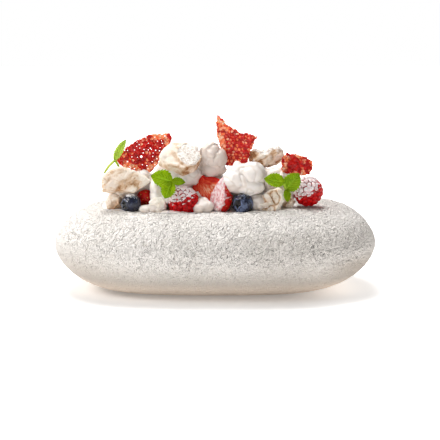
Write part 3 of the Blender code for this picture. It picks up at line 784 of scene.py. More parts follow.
def broken_meringue(node, brown, rough, powder, crust_from, hollow_depth, seed):
    base = NODES[node].data.copy()
    mesh = remeshed(base, MERINGUE_VOXEL, 8, node + "_crust")
    points, outward = coordinates(mesh), normals(mesh)
    centre, half = node_box(node)
    share = (points - centre) / half
    warped = swirled(points, 6 * MM, 2.2 * MM, seed + 1)
    lumps = fractal(warped, 6.0 * MM, 3, seed + 4, 0.55)
    crags = ridged(warped, 4.5 * MM, 3, seed + 9)
    gritty = fractal(points, 1.8 * MM, 2, seed + 15)
    near, _ = cells(warped, 1.9 * MM, seed + 5)
    pores = smoothstep(0.42, 0.1, near) * smoothstep(-0.1, 0.4, noise(points, 5 * MM, seed + 6))
    upper = smoothstep(0.25, 0.8, outward[:, 2])
    crusted = smoothstep(crust_from - 0.15, crust_from + 0.15, share[:, 0] + 0.3 * lumps)
    crust = np.maximum(0.5 * upper, crusted)
    broken = 1 - 0.85 * crust
    relief = rough * broken * (0.85 * lumps + 0.7 * (crags - 0.6) - 0.5 * pores + 0.16 * gritty)
    relief += 0.25 * lumps * crust
    front = smoothstep(0.2, 0.7, -outward[:, 1])
    dent = hollow_depth * front * np.exp(-((share[:, 0] / 0.5) ** 2) - ((share[:, 2] + 0.05) / 0.5) ** 2)
    crack = CRACKED.get(node, 0.0) * smoothstep(0.13, 0.0, np.abs(noise(warped, 8 * MM, seed + 20)))
    points = points + outward * ((relief - dent - 1.1 * crack) * MM)[:, None]
    set_coordinates(mesh, settle(points, node, even=False))
    slanted = points - np.outer(points @ SLANT, SLANT) * 0.55
    patches = smoothstep(-0.35, 0.45, fractal(slanted, 6 * MM, 3, seed + 11))
    hollow = smoothstep(0.1, -0.5, lumps + 1.2 * (crags - 0.6))
    # Browning in patches; painted shade in the hollows, pores, the front dent and the cracks; darker on downward
    # faces, partly browning and partly painted shade.
    browning_and_painted_shade = brown * (0.4 + 0.7 * patches) * (1 - 0.8 * crust) + 0.35 * brown * hollow + 0.3 * pores
    browning_and_painted_shade += 0.15 * dent / max(hollow_depth, 1.0) + 0.25 * brown * smoothstep(0.1, 0.8, -outward[:, 2])
    browning_and_painted_shade += 0.6 * crack
    lower_left = smoothstep(-0.2, -0.9, share[:, 0] + 0.7 * share[:, 2] + 0.2 * lumps)
    browning_and_painted_shade += TOASTED_END.get(node, 0.0) * lower_left
    set_attribute(mesh, "browning_and_painted_shade", np.clip(browning_and_painted_shade, 0, 1))
    set_attribute(mesh, "chalk", np.clip(powder * smoothstep(0.1, 0.75, outward[:, 2] + 0.25 * lumps), 0, 1))
    set_attribute(mesh, "specks", np.full(len(points), SPECKLED.get(node, 0.0)))
    new_piece(node + "_crust", mesh, MERINGUE, "meringue", node)


def domed_meringue(node, seed):
    """The broken top of a meringue kiss: a smooth dome whose flat, speckled base faces the front right."""
    mesh = remeshed(NODES[node].data.copy(), MERINGUE_VOXEL, 14, node + "_crust")
    points, outward = coordinates(mesh), normals(mesh)
    centre, half = node_box(node)
    facing = turned((-48, 4, 4)) @ np.array([0.0, -1.0, 0.0])
    side = turned((-48, 4, 4)) @ np.array([1.0, 0.0, 0.0])
    rise = np.cross(side, facing) * -1
    middle = centre + 7.0 * MM * side + 0.6 * MM * rise
    across, up = (points - middle) @ side, (points - middle) @ rise
    reach = np.sqrt((across / (8.6 * MM)) ** 2 + (up / (9.6 * MM)) ** 2)
    reach = reach + 0.06 * noise(points, 5 * MM, seed)
    front = smoothstep(0.35, 0.8, outward @ facing)
    disc = smoothstep(1.03, 0.97, reach) * front
    rimmed = smoothstep(-0.5, 0.5, (0.6 * across - 0.8 * up) / (9 * MM))
    lip = np.exp(-(((reach - 0.95) / 0.05) ** 2)) * front * rimmed
    lumps = fractal(points, 6 * MM, 2, seed + 3)
    grit = fractal(points, 1.4 * MM, 2, seed + 5)
    groove = np.exp(-(((reach - 1.14) / 0.10) ** 2)) * front * rimmed
    relief = 0.5 * lip - 0.9 * groove + 1.0 * lumps * (1 - disc) + 0.22 * grit * disc - 0.3 * disc
    points = points + outward * (relief * MM)[:, None]
    set_coordinates(mesh, settle(points, node, even=False))
    # Darker and browner on downward faces, partly browning and partly painted shade, and painted shade in the
    # groove round the disc.
    below = smoothstep(0.25, -0.35, outward[:, 2] - 0.3) * (1 - disc)
    near = smoothstep(2.1, 1.2, reach) * (1 - disc)
    browning_and_painted_shade = 0.2 + 0.45 * below * smoothstep(-0.6, 0.3, lumps) + 0.18 * lip + 0.1 * disc + 0.3 * groove
    browning_and_painted_shade = browning_and_painted_shade + 0.42 * near * smoothstep(-0.5, 0.4, fractal(points, 4 * MM, 2, seed + 8))
    set_attribute(mesh, "browning_and_painted_shade", np.clip(browning_and_painted_shade, 0, 1))
    set_attribute(mesh, "chalk", np.clip(disc + 0.3 * smoothstep(0.4, 0.9, outward[:, 2]) * (1 - disc), 0, 1))
    set_attribute(mesh, "specks", disc)
    new_piece(node + "_crust", mesh, MERINGUE, "meringue", node)


# Sugar lace


def lace_material():
    m = Shader("sugar_lace")
    film = m.attribute("film")
    deep = m.ramp(
        m.noise(3.0 * MM, 2.0),
        (0.3, srgb(150, 2, 2)),
        (0.55, srgb(192, 10, 6)),
        (0.8, srgb(220, 40, 18)),
    )
    # The pale colours are the thin film's own, and on the tops of the beads they are a painted highlight.
    pale = m.ramp(
        m.noise(2.2 * MM, 3.0),
        (0.3, srgb(236, 104, 58)),
        (0.5, srgb(246, 150, 100)),
        (0.7, srgb(254, 222, 196)),
    )
    colour = m.mix(m.band(film, 0.2, 0.8), deep, pale)
    m.principled(Base_Color=colour, Roughness=m.band(m.noise(1.6 * MM, 2.0), 0.3, 0.7, 0.12, 0.34))
    m.principled(Specular_IOR_Level=0.28, Coat_Weight=0.06, Coat_Roughness=0.05)
    m.subsurface(0.35, 2.0, 0.2, 0.1)
    m.bump(m.noise(1.0 * MM, 2.0), 0.45 * MM)
    return m.material


LACE = lace_material()
LACE_GRID = 0.3 * MM

# Each sheet: its turn, its bend, the spacing of its cells, the shares of them that are open and that hold a
# thin film, the sides where pale film gathers, the seed and the outline, in millimetres.
TUILES = {
    "tuile_left": (
        (-8, 0, 0), -2.0, 2.4, 0.42, 0.62, ((-0.45, -1.0), (1.0, 0.5)), 201,
        ((-22, -5.5), (-17, 2), (-11, 6), (-5, 10), (2, 13), (16, 14), (18, 11), (16, 4), (14, -2), (9, -5),
         (6, -10), (1, -15), (-6, -13), (-14, -10)),
    ),
    "tuile_tall": (
        (-6, 0, -8), 1.8, 2.3, 0.0, 0.72, ((-1.0, 0.35),), 202,
        ((-12, 19), (-12.5, 13), (-12, 5), (-9, -5), (-6, -16), (8, -17), (12, -3), (15, 4), (10, 6), (5, 6),
         (-1, 9), (-6, 13)),
    ),
    "tuile_right": (
        (-14, 0, 10), 1.5, 2.0, 0.0, 0.12, ((1.0, -0.6), (-1.0, 1.0)), 203,
        ((-11, -3), (-10, 5), (-6, 8), (-1, 7), (7, 5), (11, 2), (11, -3), (8, -7), (0, -8), (-7, -7)),
    ),
}


def inside_distance(points, outline):
    """The distance in from a closed outline, negative outside it."""
    nearest = np.full(len(points), 1e9)
    crossings = np.zeros(len(points), int)
    for start, end in zip(outline, np.roll(outline, -1, axis=0)):
        side = end - start
        share = np.clip((points - start) @ side / (side @ side), 0, 1)
        nearest = np.minimum(nearest, np.linalg.norm(points - start - share[:, None] * side, axis=1))
        spans = (start[1] > points[:, 1]) != (end[1] > points[:, 1])
        where = start[0] + (points[:, 1] - start[1]) * side[0] / (side[1] if side[1] else 1e-12)
        crossings += spans & (points[:, 0] < where)
    return np.where(crossings % 2 == 1, nearest, -nearest)


def lace_sheet(node, turn, bend, spacing, open_share, film_share, film_sides, seed, outline):
    """A thin crisp sheet of sugar lace: a web with small holes, beads between them, and a crumbled edge."""
    source = np.random.default_rng(seed)
    outline = np.array(outline, float) * MM
    low, high = outline.min(0) - 1.5 * MM, outline.max(0) + 1.5 * MM
    across, up = (int(math.ceil(side / LACE_GRID)) for side in high - low)
    grid = np.stack(np.meshgrid(np.arange(across), np.arange(up), indexing="ij"), -1).reshape(-1, 2)
    flat = low + grid * LACE_GRID
    solid = np.column_stack([flat, np.full(len(flat), seed * 1.0)])
    rim = inside_distance(flat, outline)
    jag = 0.9 * MM * fractal(solid, 2.6 * MM, 2, seed) + 0.45 * MM * noise(solid, 0.9 * MM, seed + 1)
    field = rim + jag - 0.1 * MM
    sides = [np.array(side) / np.linalg.norm(side) for side in film_sides]
    sided = np.max([smoothstep(-0.2, 0.5, (flat / np.abs(outline).max(0)) @ side) for side in sides], axis=0)
    film = smoothstep(-0.25, 0.15, fractal(solid, 5 * MM, 2, seed + 2))
    film = film * smoothstep(6.5 * MM, 2.5 * MM, rim) * sided
    sites, kinds = [], []
    spacing = spacing * MM
    rows = int((high[1] - low[1]) / (spacing * 0.87)) + 2
    columns = int((high[0] - low[0]) / spacing) + 2
    for row in range(rows):
        for column in range(columns):
            shift = 0.5 * (row % 2)
            jitter = source.uniform(-0.3, 0.3, 2)
            sites.append(low + spacing * np.array([column + shift + jitter[0], 0.87 * row + jitter[1]]))
            kinds.append(source.uniform())
    sites, kinds = np.array(sites), np.array(kinds)
    radii = np.where(kinds < open_share, source.uniform(0.11, 0.18, len(sites)) * spacing / MM, 0.0) * MM
    radii = np.where(kinds < min(0.02, open_share), 0.8 * MM, radii)
    apart = np.linalg.norm(flat[:, None, :] - sites[None], axis=2)
    wobble = 1 + 0.35 * noise(solid, 0.9 * MM, seed + 5)
    holes = np.where(radii[None] > 0, apart - radii[None] * wobble[:, None], 1.0)
    to_hole = holes.min(1)
    mound = np.maximum(0, 1 - (apart / (0.52 * spacing)) ** 2)
    bead = np.where(kinds[None] < film_share, 0.0, mound).max(1) ** 0.5
    filled = np.where((kinds > open_share) & (kinds < film_share), source.uniform(0.35, 1.0, len(sites)), 0.0)
    order = np.argsort(apart, axis=1)[:, :2]
    nearest, second = np.take_along_axis(apart, order, 1).T
    inner_share = (second - nearest) / spacing * (1 + 0.5 * noise(solid, 1.3 * MM, seed + 8))
    window = filled[order[:, 0]] * smoothstep(0.05, 0.33, inner_share)
    field = np.minimum(field, to_hole)
    field = field.reshape(across, up)
    wanted = field > 0
    quad = wanted[:-1, :-1] | wanted[1:, :-1] | wanted[:-1, 1:] | wanted[1:, 1:]
    full = np.zeros((across, up), bool)
    full[1:-1, 1:-1] = quad[:-1, :-1] & quad[1:, :-1] & quad[:-1, 1:] & quad[1:, 1:]
    field = np.where(full & ~wanted, 0.03 * MM, field)
    slope = np.stack(np.gradient(field, LACE_GRID), -1)
    steep = np.maximum((slope**2).sum(-1), 0.25)
    pull = -(field / steep)[..., None] * slope
    pull *= np.minimum(1, 0.8 * LACE_GRID / np.maximum(np.linalg.norm(pull, axis=-1), 1e-12))[..., None]
    flat = flat.reshape(across, up, 2) + np.where((field <= 0)[..., None], pull, 0.0)
    depth = np.clip(field / (0.42 * MM), 0, 1)
    pillow = np.sqrt(1 - (1 - depth) ** 2)
    near_hole = np.exp(-((to_hole - 0.55 * MM) / (0.4 * MM)) ** 2)
    web = smoothstep(0.7 * MM, 0.1 * MM, second - nearest)
    thick = 0.55 + 0.35 * near_hole + 1.5 * bead + 0.75 * web - 0.25 * window
    thick = thick + 0.25 * noise(solid, 3 * MM, seed + 6)
    between_webs = film * (0.55 + 0.45 * (1 - web))
    # Painted highlight: the tops of the beads are made paler.
    painted_bead_highlight = 0.26 * bead * (kinds[order[:, 0]] > film_share)
    film = np.maximum(np.maximum(between_webs, window), painted_bead_highlight)
    thick = (thick * (1 - 0.35 * film)).reshape(across, up) * MM * pillow
    x, y = flat[..., 0] / (20 * MM), flat[..., 1] / (20 * MM)
    lift = bend * MM * (x * x - 0.4 * y * y + 0.3 * x * y)
    lift = lift + (0.5 * MM * noise(solid, 8 * MM, seed + 7)).reshape(across, up)
    used = np.zeros((across, up), bool)
    for dx, dy in ((0, 0), (1, 0), (0, 1), (1, 1)):
        used[dx:across - 1 + dx, dy:up - 1 + dy] |= quad
    top_index = np.full((across, up), -1)
    top_index[used] = np.arange(used.sum())
    bottom_index = top_index.copy()
    inner = used & (field > 0)
    bottom_index[inner] = used.sum() + np.arange(inner.sum())
    tops = np.column_stack([flat[used], (lift + thick / 2)[used]])
    bottoms = np.column_stack([flat[inner], (lift - thick / 2)[inner]])
    points = np.vstack([tops, bottoms])
    i, j = np.nonzero(quad)
    top_faces = np.stack([top_index[i, j], top_index[i + 1, j], top_index[i + 1, j + 1],
                          top_index[i, j + 1]], 1)
    low_faces = np.stack([bottom_index[i, j], bottom_index[i, j + 1], bottom_index[i + 1, j + 1],
                          bottom_index[i + 1, j]], 1)
    stand = np.array(Matrix.Rotation(math.radians(90), 3, "X"))
    points = settle(points @ stand.T @ turned(turn).T, node)
    mesh = mesh_from(node + "_lace", points, np.vstack([top_faces, low_faces]).tolist())
    film = film.reshape(across, up)
    set_attribute(mesh, "film", np.concatenate([film[used], film[inner]]))
    new_piece(node + "_lace", mesh, LACE, "sugar_lace", node)


# Fruit


def raspberry_material():
    m = Shader("raspberry")
    crease_shade = m.attribute("crease_shade")
    flesh = m.mix(m.band(m.noise(5 * MM, 2.0), 0.35, 0.65), srgb(166, 2, 8), srgb(196, 6, 8))
    # Painted shade: darker red in the creases between the drupelets.
    berry = m.mix(m.band(crease_shade, 0.0, 1.0), flesh, srgb(112, 2, 10))
    grain = m.noise(0.75 * MM, 3.0, 0.7)
    covered = m.uneven(m.attribute("sugar"), grain, 1.1)
    share = m.band(covered, 0.38, 0.62)
    white = m.mix(m.band(m.noise(1.3 * MM, 2.0), 0.35, 0.7), srgb(240, 234, 233), srgb(220, 190, 192))
    m.principled(Base_Color=m.mix(share, berry, white), Roughness=m.band(share, 0.0, 1.0, 0.2, 0.85))
    m.principled(Specular_IOR_Level=0.12, Coat_Weight=m.band(share, 0.0, 1.0, 0.06, 0.0), Coat_Roughness=0.08)
    m.subsurface(0.2, 1.5, 0.15, 0.15)
    m.bump(m.math("MULTIPLY", share, grain), 0.45 * MM)
    return m.material


RASPBERRY = raspberry_material()

# Each raspberry: the way its tip points, radius, height, the way the sugar came from, how far round it
# reaches, how finely it is divided, and the seed.
RASPBERRIES = {
    "raspberry_left": ((-30, 55), 10.4, 21.5, (-0.35, -0.1, 1.0), 0.37, 7, 301),
    "raspberry_right": ((-35, 40), 10.0, 20.5, (-0.5, -0.45, 0.9), 0.30, 7, 302),
    "raspberry_back": ((150, 50), 10.0, 20.5, (0.1, 0.2, 1.0), 0.25, 6, 303),
}


def raspberry(node, way, radius, height, dust_way, dust_reach, fineness, seed):
    source = np.random.default_rng(seed)
    rays, faces = icosphere(fineness)
    rows = 10
    centres, sizes = [], []
    for row in range(rows + 1):
        latitude = math.pi * (row / rows - 0.5)
        around = max(1, round(2 * math.pi * math.cos(latitude) * radius * 0.93 / 3.75))
        for step in range(around):
            angle = math.tau * (step + 0.5 * (row % 2)) / around + source.uniform(-0.06, 0.06)
            tilt = latitude + source.uniform(-0.04, 0.04)
            taper = 1 - 0.16 * math.sin(tilt)
            flat = math.cos(tilt) * (radius - 1.75) * taper
            rise = math.sin(tilt) * (height / 2 - 1.75)
            centres.append((flat * math.cos(angle), flat * math.sin(angle), rise))
            sizes.append(2.35 * source.uniform(0.94, 1.08))
    centres, sizes = np.array(centres) * MM, np.array(sizes) * MM
    best = np.full(len(rays), 0.78 * radius * MM)
    second = best.copy()
    for centre, size in zip(centres, sizes):
        along = rays @ centre
        inside = along**2 - centre @ centre + size**2
        reach = np.where(inside > 0, along + np.sqrt(np.maximum(inside, 0)), 0)
        second = np.maximum(second, np.minimum(best, reach))
        best = np.maximum(best, reach)
    # How near each point is to a crease between drupelets, which gets painted shade.
    crease_shade = smoothstep(0.5 * MM, 0.0, best - second)
    points = rays * (best + 0.12 * MM * noise(rays * radius * MM, 1.2 * MM, seed))[:, None]
    turn = aimed(direction(*way))
    points = settle(points @ turn.T, node)
    mesh = mesh_from(node + "_drupelets", points, faces)
    outward = normals(mesh)
    body = (rays @ turn.T)
    dust_way = np.array(dust_way) / np.linalg.norm(dust_way)
    facing = 0.36 * outward @ dust_way + 0.64 * body @ dust_way
    patch = 0.3 * fractal(points, 2.6 * MM, 3, seed + 3)
    bare = smoothstep(0.9 * MM, 0.2 * MM, best - second)
    bare = bare * (0.6 + 1.3 * noise(points, 3.2 * MM, seed + 8)).clip(0, 1)
    sugar = smoothstep(dust_reach - 0.25, dust_reach + 0.15, facing + patch) * (1 - bare)
    drift = sugar * (0.30 + 0.25 * noise(points, 1.1 * MM, seed + 5)) * MM
    set_coordinates(mesh, settle(points + outward * drift[:, None], node))
    set_attribute(mesh, "crease_shade", crease_shade)
    set_attribute(mesh, "sugar", sugar)
    new_piece(node + "_drupelets", mesh, RASPBERRY, "raspberry", node)


def blueberry_material():
    m = Shader("blueberry")
    bloom = m.uneven(m.attribute("bloom"), m.noise(1.4 * MM, 4.0, 0.6), 0.7)
    skin = m.mix(m.band(m.noise(6 * MM, 2.0), 0.35, 0.7), srgb(12, 14, 28), srgb(28, 32, 56))
    frosted = m.mix(m.band(bloom, 0.25, 0.95), skin, srgb(120, 138, 178))
    dark = m.mix(m.attribute("pit"), frosted, srgb(8, 8, 12))
    grain = m.noise(0.7 * MM, 3.0, 0.7)
    covered = m.uneven(m.attribute("sugar"), grain, 1.6)
    share = m.band(covered, 0.50, 0.66)
    m.principled(Base_Color=m.mix(share, dark, srgb(250, 250, 252)))
    m.principled(Roughness=m.band(bloom, 0.2, 0.8, 0.2, 0.6), Specular_IOR_Level=0.45, Coat_Weight=0.05)
    m.principled(Sheen_Weight=0.05, Sheen_Roughness=0.5)
    rough = m.bump(m.noise(1.1 * MM, 3.0), 0.10 * MM)
    m.bump(share, 0.2 * MM, 1.0, rough)
    return m.material


BLUEBERRY = blueberry_material()

# Each blueberry: the way its crown faces, how much bloom it keeps, how much sugar lies on it, and the seed.
BLUEBERRIES = {
    "blueberry_left": ((-48, 0), 0.35, 0.7, 401),
    "blueberry_right": ((-38, 8), 0.55, 0.5, 402),
    "blueberry_back": ((200, 35), 0.6, 0.3, 403),
    "blueberry_back_right": ((130, 30), 0.5, 0.3, 404),
}


def blueberry(node, way, bloom, dusting, seed):
    source = np.random.default_rng(seed)
    rays, faces = icosphere(6)
    from_crown = np.arccos(np.clip(rays[:, 2], -1, 1))
    longitude = np.arctan2(rays[:, 1], rays[:, 0]) + source.uniform(0, 1)
    lobe = np.abs(np.sin(2.5 * longitude)) ** 0.8
    edge = 0.40 + 0.15 * (1 - lobe) + 0.03 * np.sin(3 * longitude + source.uniform(0, 6))
    pit = 0.26 * smoothstep(edge, edge * 0.45, from_crown)
    crown = 0.085 * np.exp(-(((from_crown - edge) / 0.07) ** 2)) * (1.1 - 0.7 * lobe)
    moat = 0.03 * np.exp(-(((from_crown - edge - 0.16) / 0.1) ** 2))
    reach = 1 - pit + crown - moat + 0.012 * fractal(rays, 0.5, 2, seed)
    points = rays * reach[:, None] * np.array([1, 1, 0.9])
    points = settle(points @ aimed(direction(*way)).T, node)
    mesh = mesh_from(node + "_skin", points, faces)
    outward = normals(mesh)
    patch = smoothstep(-0.5, 0.6, fractal(points, 5 * MM, 3, seed + 2))
    at_edge = smoothstep(0.06, 0.0, np.abs(from_crown - edge))
    set_attribute(mesh, "bloom", bloom * (0.3 + 0.9 * patch) + 0.3 * at_edge)
    set_attribute(mesh, "pit", smoothstep(edge * 1.02, edge * 0.8, from_crown))
    up = outward[:, 2] + 0.2 * noise(points, 3 * MM, seed + 4)
    set_attribute(mesh, "sugar", dusting * smoothstep(0.45, 0.95, up))
    new_piece(node + "_skin", mesh, BLUEBERRY, "blueberry", node)


def strawberry_material():
    m = Shader("strawberry")
    flesh = m.attribute("flesh")
    inward = m.attribute("inward")
    streak = m.attribute("streak")
    skin = m.mix(m.band(m.noise(4 * MM, 2.0), 0.35, 0.7), srgb(178, 14, 14), srgb(210, 28, 18))
    mixed = m.uneven(inward, streak, 1.1)
    inside = m.ramp(
        mixed,
        (0.0, srgb(200, 22, 16)),
        (0.25, srgb(220, 52, 30)),
        (0.5, srgb(228, 78, 48)),
        (0.75, srgb(234, 116, 80)),
        (1.0, srgb(246, 184, 150)),
    )
    fruit = m.mix(m.band(flesh, 0.2, 0.8), skin, inside)
    grain = m.noise(1.0 * MM, 3.0, 0.7)
    covered = m.uneven(m.attribute("sugar"), grain, 0.8, 0.45)
    share = m.band(covered, 0.38, 0.72)
    white = m.mix(m.band(m.noise(2.0 * MM, 3.0), 0.40, 0.60), srgb(224, 207, 207), srgb(204, 146, 148))
    m.principled(Base_Color=m.mix(share, fruit, white), Roughness=m.band(share, 0.0, 1.0, 0.28, 0.85))
    m.principled(Specular_IOR_Level=0.2, Coat_Weight=m.band(share, 0.0, 1.0, 0.06, 0.0), Coat_Roughness=0.12)
    m.subsurface(0.3, 2.0, 0.5, 0.4)
    wet = m.bump(m.noise(1.5 * MM, 3.0), 0.4 * MM)
    m.bump(m.math("MULTIPLY", share, grain), 0.4 * MM, 1.0, wet)
    return m.material


STRAWBERRY = strawberry_material()


def seed_material():
    m = Shader("strawberry_seed")
    m.principled(Base_Color=m.mix(m.noise(1 * MM), srgb(226, 170, 70), srgb(198, 120, 50)), Roughness=0.4)
    m.bump(m.noise(0.4 * MM), 0.05 * MM)
    return m.material


SEED = seed_material()

# Each strawberry: the way its tip points, radius, height, its cuts as (azimuth, elevation, share), the way
# its sugar came from, and the seed.
STRAWBERRIES = {
    "strawberry_cut": ((62, 30), 11.0, 26.0, ((-12, 18, 0.10),), None, 501),
    "strawberry_half": ((10, 78), 7.8, 26.0, ((-50, 12, 0.35),), (-0.75, -0.5, 0.35), 502),
    "strawberry_slice": ((60, -30), 6.4, 14.0, ((180, 20, 0.1),), None, 503),
    "strawberry_back": ((200, 20), 10.0, 22.0, ((180, 50, 0.2),), (0.0, 0.3, 1.0), 504),
}


def berry_width(z):
    """The strawberry's width along its own axis, as a share, from stalk (-1) to tip (1)."""
    down = (1 - z) / 2
    return np.where(down < 0.5, 1.12 * np.maximum(down, 1e-9) ** 0.55, 1.0) ** 0.6


def strawberry(node, way, radius, height, cuts, sugar_way, seed):
    maker = bmesh.new()
    bmesh.ops.create_uvsphere(maker, u_segments=72, v_segments=48, radius=1.0)
    for vert in maker.verts:
        width = radius * MM * float(berry_width(vert.co.z))
        vert.co.x *= width
        vert.co.y *= width
        vert.co.z *= height / 2 * MM
    turn = aimed(direction(*way))
    for azimuth, elevation, share in cuts:
        outward = Vector(direction(azimuth, elevation) @ turn)
        geometry = list(maker.verts) + list(maker.edges) + list(maker.faces)
        bmesh.ops.bisect_plane(maker, geom=geometry, dist=1e-7, plane_co=outward * share * radius * MM,
                               plane_no=outward, clear_outer=True)
        bmesh.ops.edgeloop_fill(maker, edges=[edge for edge in maker.edges if edge.is_boundary])
    bmesh.ops.triangulate(maker, faces=maker.faces)
    base = bpy.data.meshes.new(node)
    maker.to_mesh(base)
    maker.free()
    mesh = remeshed(base, STRAWBERRY_VOXEL, 2, node + "_flesh")
    own, outward = coordinates(mesh), normals(mesh)
    z = np.clip(own[:, 2] / (height / 2 * MM), -1, 1)
    wide = radius * MM * berry_width(z) * np.sqrt(np.maximum(1 - z * z, 1e-6))
    share = np.linalg.norm(own[:, :2], axis=1) / np.maximum(wide, 0.5 * MM)
    flesh = smoothstep(0.98, 0.90, share)
    inward = np.clip(1 - share, 0, 1) * smoothstep(1.0, 0.6, np.abs(z))
    along = np.stack([share * 5 * MM, np.arctan2(own[:, 0], own[:, 2] + 3 * MM) * 9 * MM, own[:, 1] * 0.2], 1)
    streak = 0.5 + 0.5 * fractal(along, 1.4 * MM, 2, seed + 1)
    relief = (1 - flesh) * 0.15 * MM * fractal(own, 3 * MM, 2, seed + 2)
    relief += flesh * MM * (0.28 * fractal(own, 2.2 * MM, 3, seed + 3) + 0.22 * (streak - 0.5))
    seeds, count = [], int(5.2 * radius)
    for number in range(count):
        at = -0.9 + 1.75 * (number + 0.5) / count
        angle = number * GOLDEN_ANGLE
        flat = radius * MM * float(berry_width(np.array(at))) * math.sqrt(1 - at * at)
        place = np.array([flat * math.cos(angle), flat * math.sin(angle), at * height / 2 * MM])
        clear = all(place @ (direction(a, e) @ turn) < s * radius * MM - 1.0 * MM for a, e, s in cuts)
        if clear:
            seeds.append(place)
    for place in seeds:
        apart = np.linalg.norm(own - place, axis=1)
        relief -= 0.42 * MM * np.exp(-((apart / (0.75 * MM)) ** 2))
    moved = (own + outward * relief[:, None]) @ turn.T
    centre, half = node_box(node)
    low, high = moved.min(0), moved.max(0)
    ratio = np.prod(half / ((high - low) / 2)) ** (1 / 3)
    middle = (low + high) / 2
    points = (moved - middle) * ratio + centre
    outward = outward @ turn.T
    sugar = np.zeros(len(points))
    if sugar_way:
        sugar_way = np.array(sugar_way) / np.linalg.norm(sugar_way)
        sugar = smoothstep(-0.05, 0.45, outward @ sugar_way + 0.25 * fractal(points, 3 * MM, 3, seed + 5))
        points = points + outward * (sugar * (0.25 + 0.25 * noise(points, 1.0 * MM, seed + 6)) * MM)[:, None]
    set_coordinates(mesh, points)
    for name, values in (("flesh", flesh), ("inward", inward), ("streak", streak), ("sugar", sugar)):
        set_attribute(mesh, name, values)
    new_piece(node + "_flesh", mesh, STRAWBERRY, "strawberry", node)
    shell, triangles = icosphere(2)
    for place in seeds:
        outward = place / np.linalg.norm(place)
        grain = (shell * np.array([0.42, 0.30, 0.62]) * MM)
        upright = np.array([0.0, 0.0, 1.0]) - outward * outward[2]
        upright /= max(np.linalg.norm(upright), 1e-9)
        axes = np.stack([np.cross(upright, outward), outward, upright])
        grain = (grain @ axes + place - outward * 0.32 * MM) @ turn.T
        SEED_POINTS.append((grain - middle) * ratio + centre)
    return triangles


SEED_POINTS = []


def strawberry_seeds(triangles):
    """All the strawberries' seeds as one piece."""
    new_piece("strawberry_seeds", joined("strawberry_seeds", SEED_POINTS, triangles), SEED, "strawberry")


# Mint


def mint_material():
    m = Shader("mint")
    vein = m.attribute("vein")
    tone = m.band(m.noise(4 * MM, 2.0), 0.3, 0.7)
    blade = m.mix(tone, srgb(112, 144, 0), srgb(140, 168, 4))
    # Painted shade: some leaves are made darker.
    shaded = m.mix(m.attribute("shade"), blade, srgb(92, 116, 4))
    pale = m.mix(m.attribute("pale"), shaded, srgb(196, 220, 112))
    colour = m.mix(m.math("MULTIPLY", vein, 0.5), pale, srgb(186, 218, 66))
    m.principled(Base_Color=colour, Roughness=0.42, Specular_IOR_Level=0.08)
    m.subsurface(0.3, 1.0, 1.6, 0.3)
    m.bump(m.noise(0.9 * MM, 3.0), 0.12 * MM)
    return m.material


MINT = mint_material()

# Each sprig: the joint of its leaves; each leaf's start, way, facing, length, width, painted shade and paleness;
# its stalk's way and length.
SPRIGS = {
    "mint_far_left": (
        (-67.5, -11.0, 88.8),
        (
            ((0, 0, 0), (7, 1, 14), (-3, -10, 2), 15.5, 5.4, 0.0, 0.55),
            ((0, 0, 0), (-8, -3, -7), (-3, -2, 9), 11.0, 1.7, 0.0, 1.0),
        ),
        (5, 4, -9), 12.0,
    ),
    "mint_left": (
        (-28.5, -31.5, 77.5),
        (
            ((0, 0, 0), (-14, -2, 5), (1, -10, 4), 15.0, 12.0, 0.0, 0.0),
            ((0, 0, 0), (-5, -2, -11), (-2, -10, 1), 12.5, 10.0, 0.1, 0.0),
            ((0, 0, 0), (9, 0, 0.5), (0, -8, 6), 9.5, 6.0, 0.5, 0.0),
        ),
        (1, 9, -1), 9.0,
    ),
    "mint_right": (
        (45.5, -30.0, 76.0),
        (
            ((0, 0, 0), (-13, -1, 3.5), (1, -9, 5), 13.5, 9.5, 0.15, 0.0),
            ((1.6, 1.5, -4.6), (8.5, -1, 11), (1, -10, 3), 14.0, 11.5, 0.55, 0.0),
            ((1.6, 1.5, -4.6), (1.5, -2, -8), (2, -9, 1), 8.5, 5.0, 0.3, 0.0),
        ),
        (2.2, 3.0, -6.5), 10.0,
    ),
}


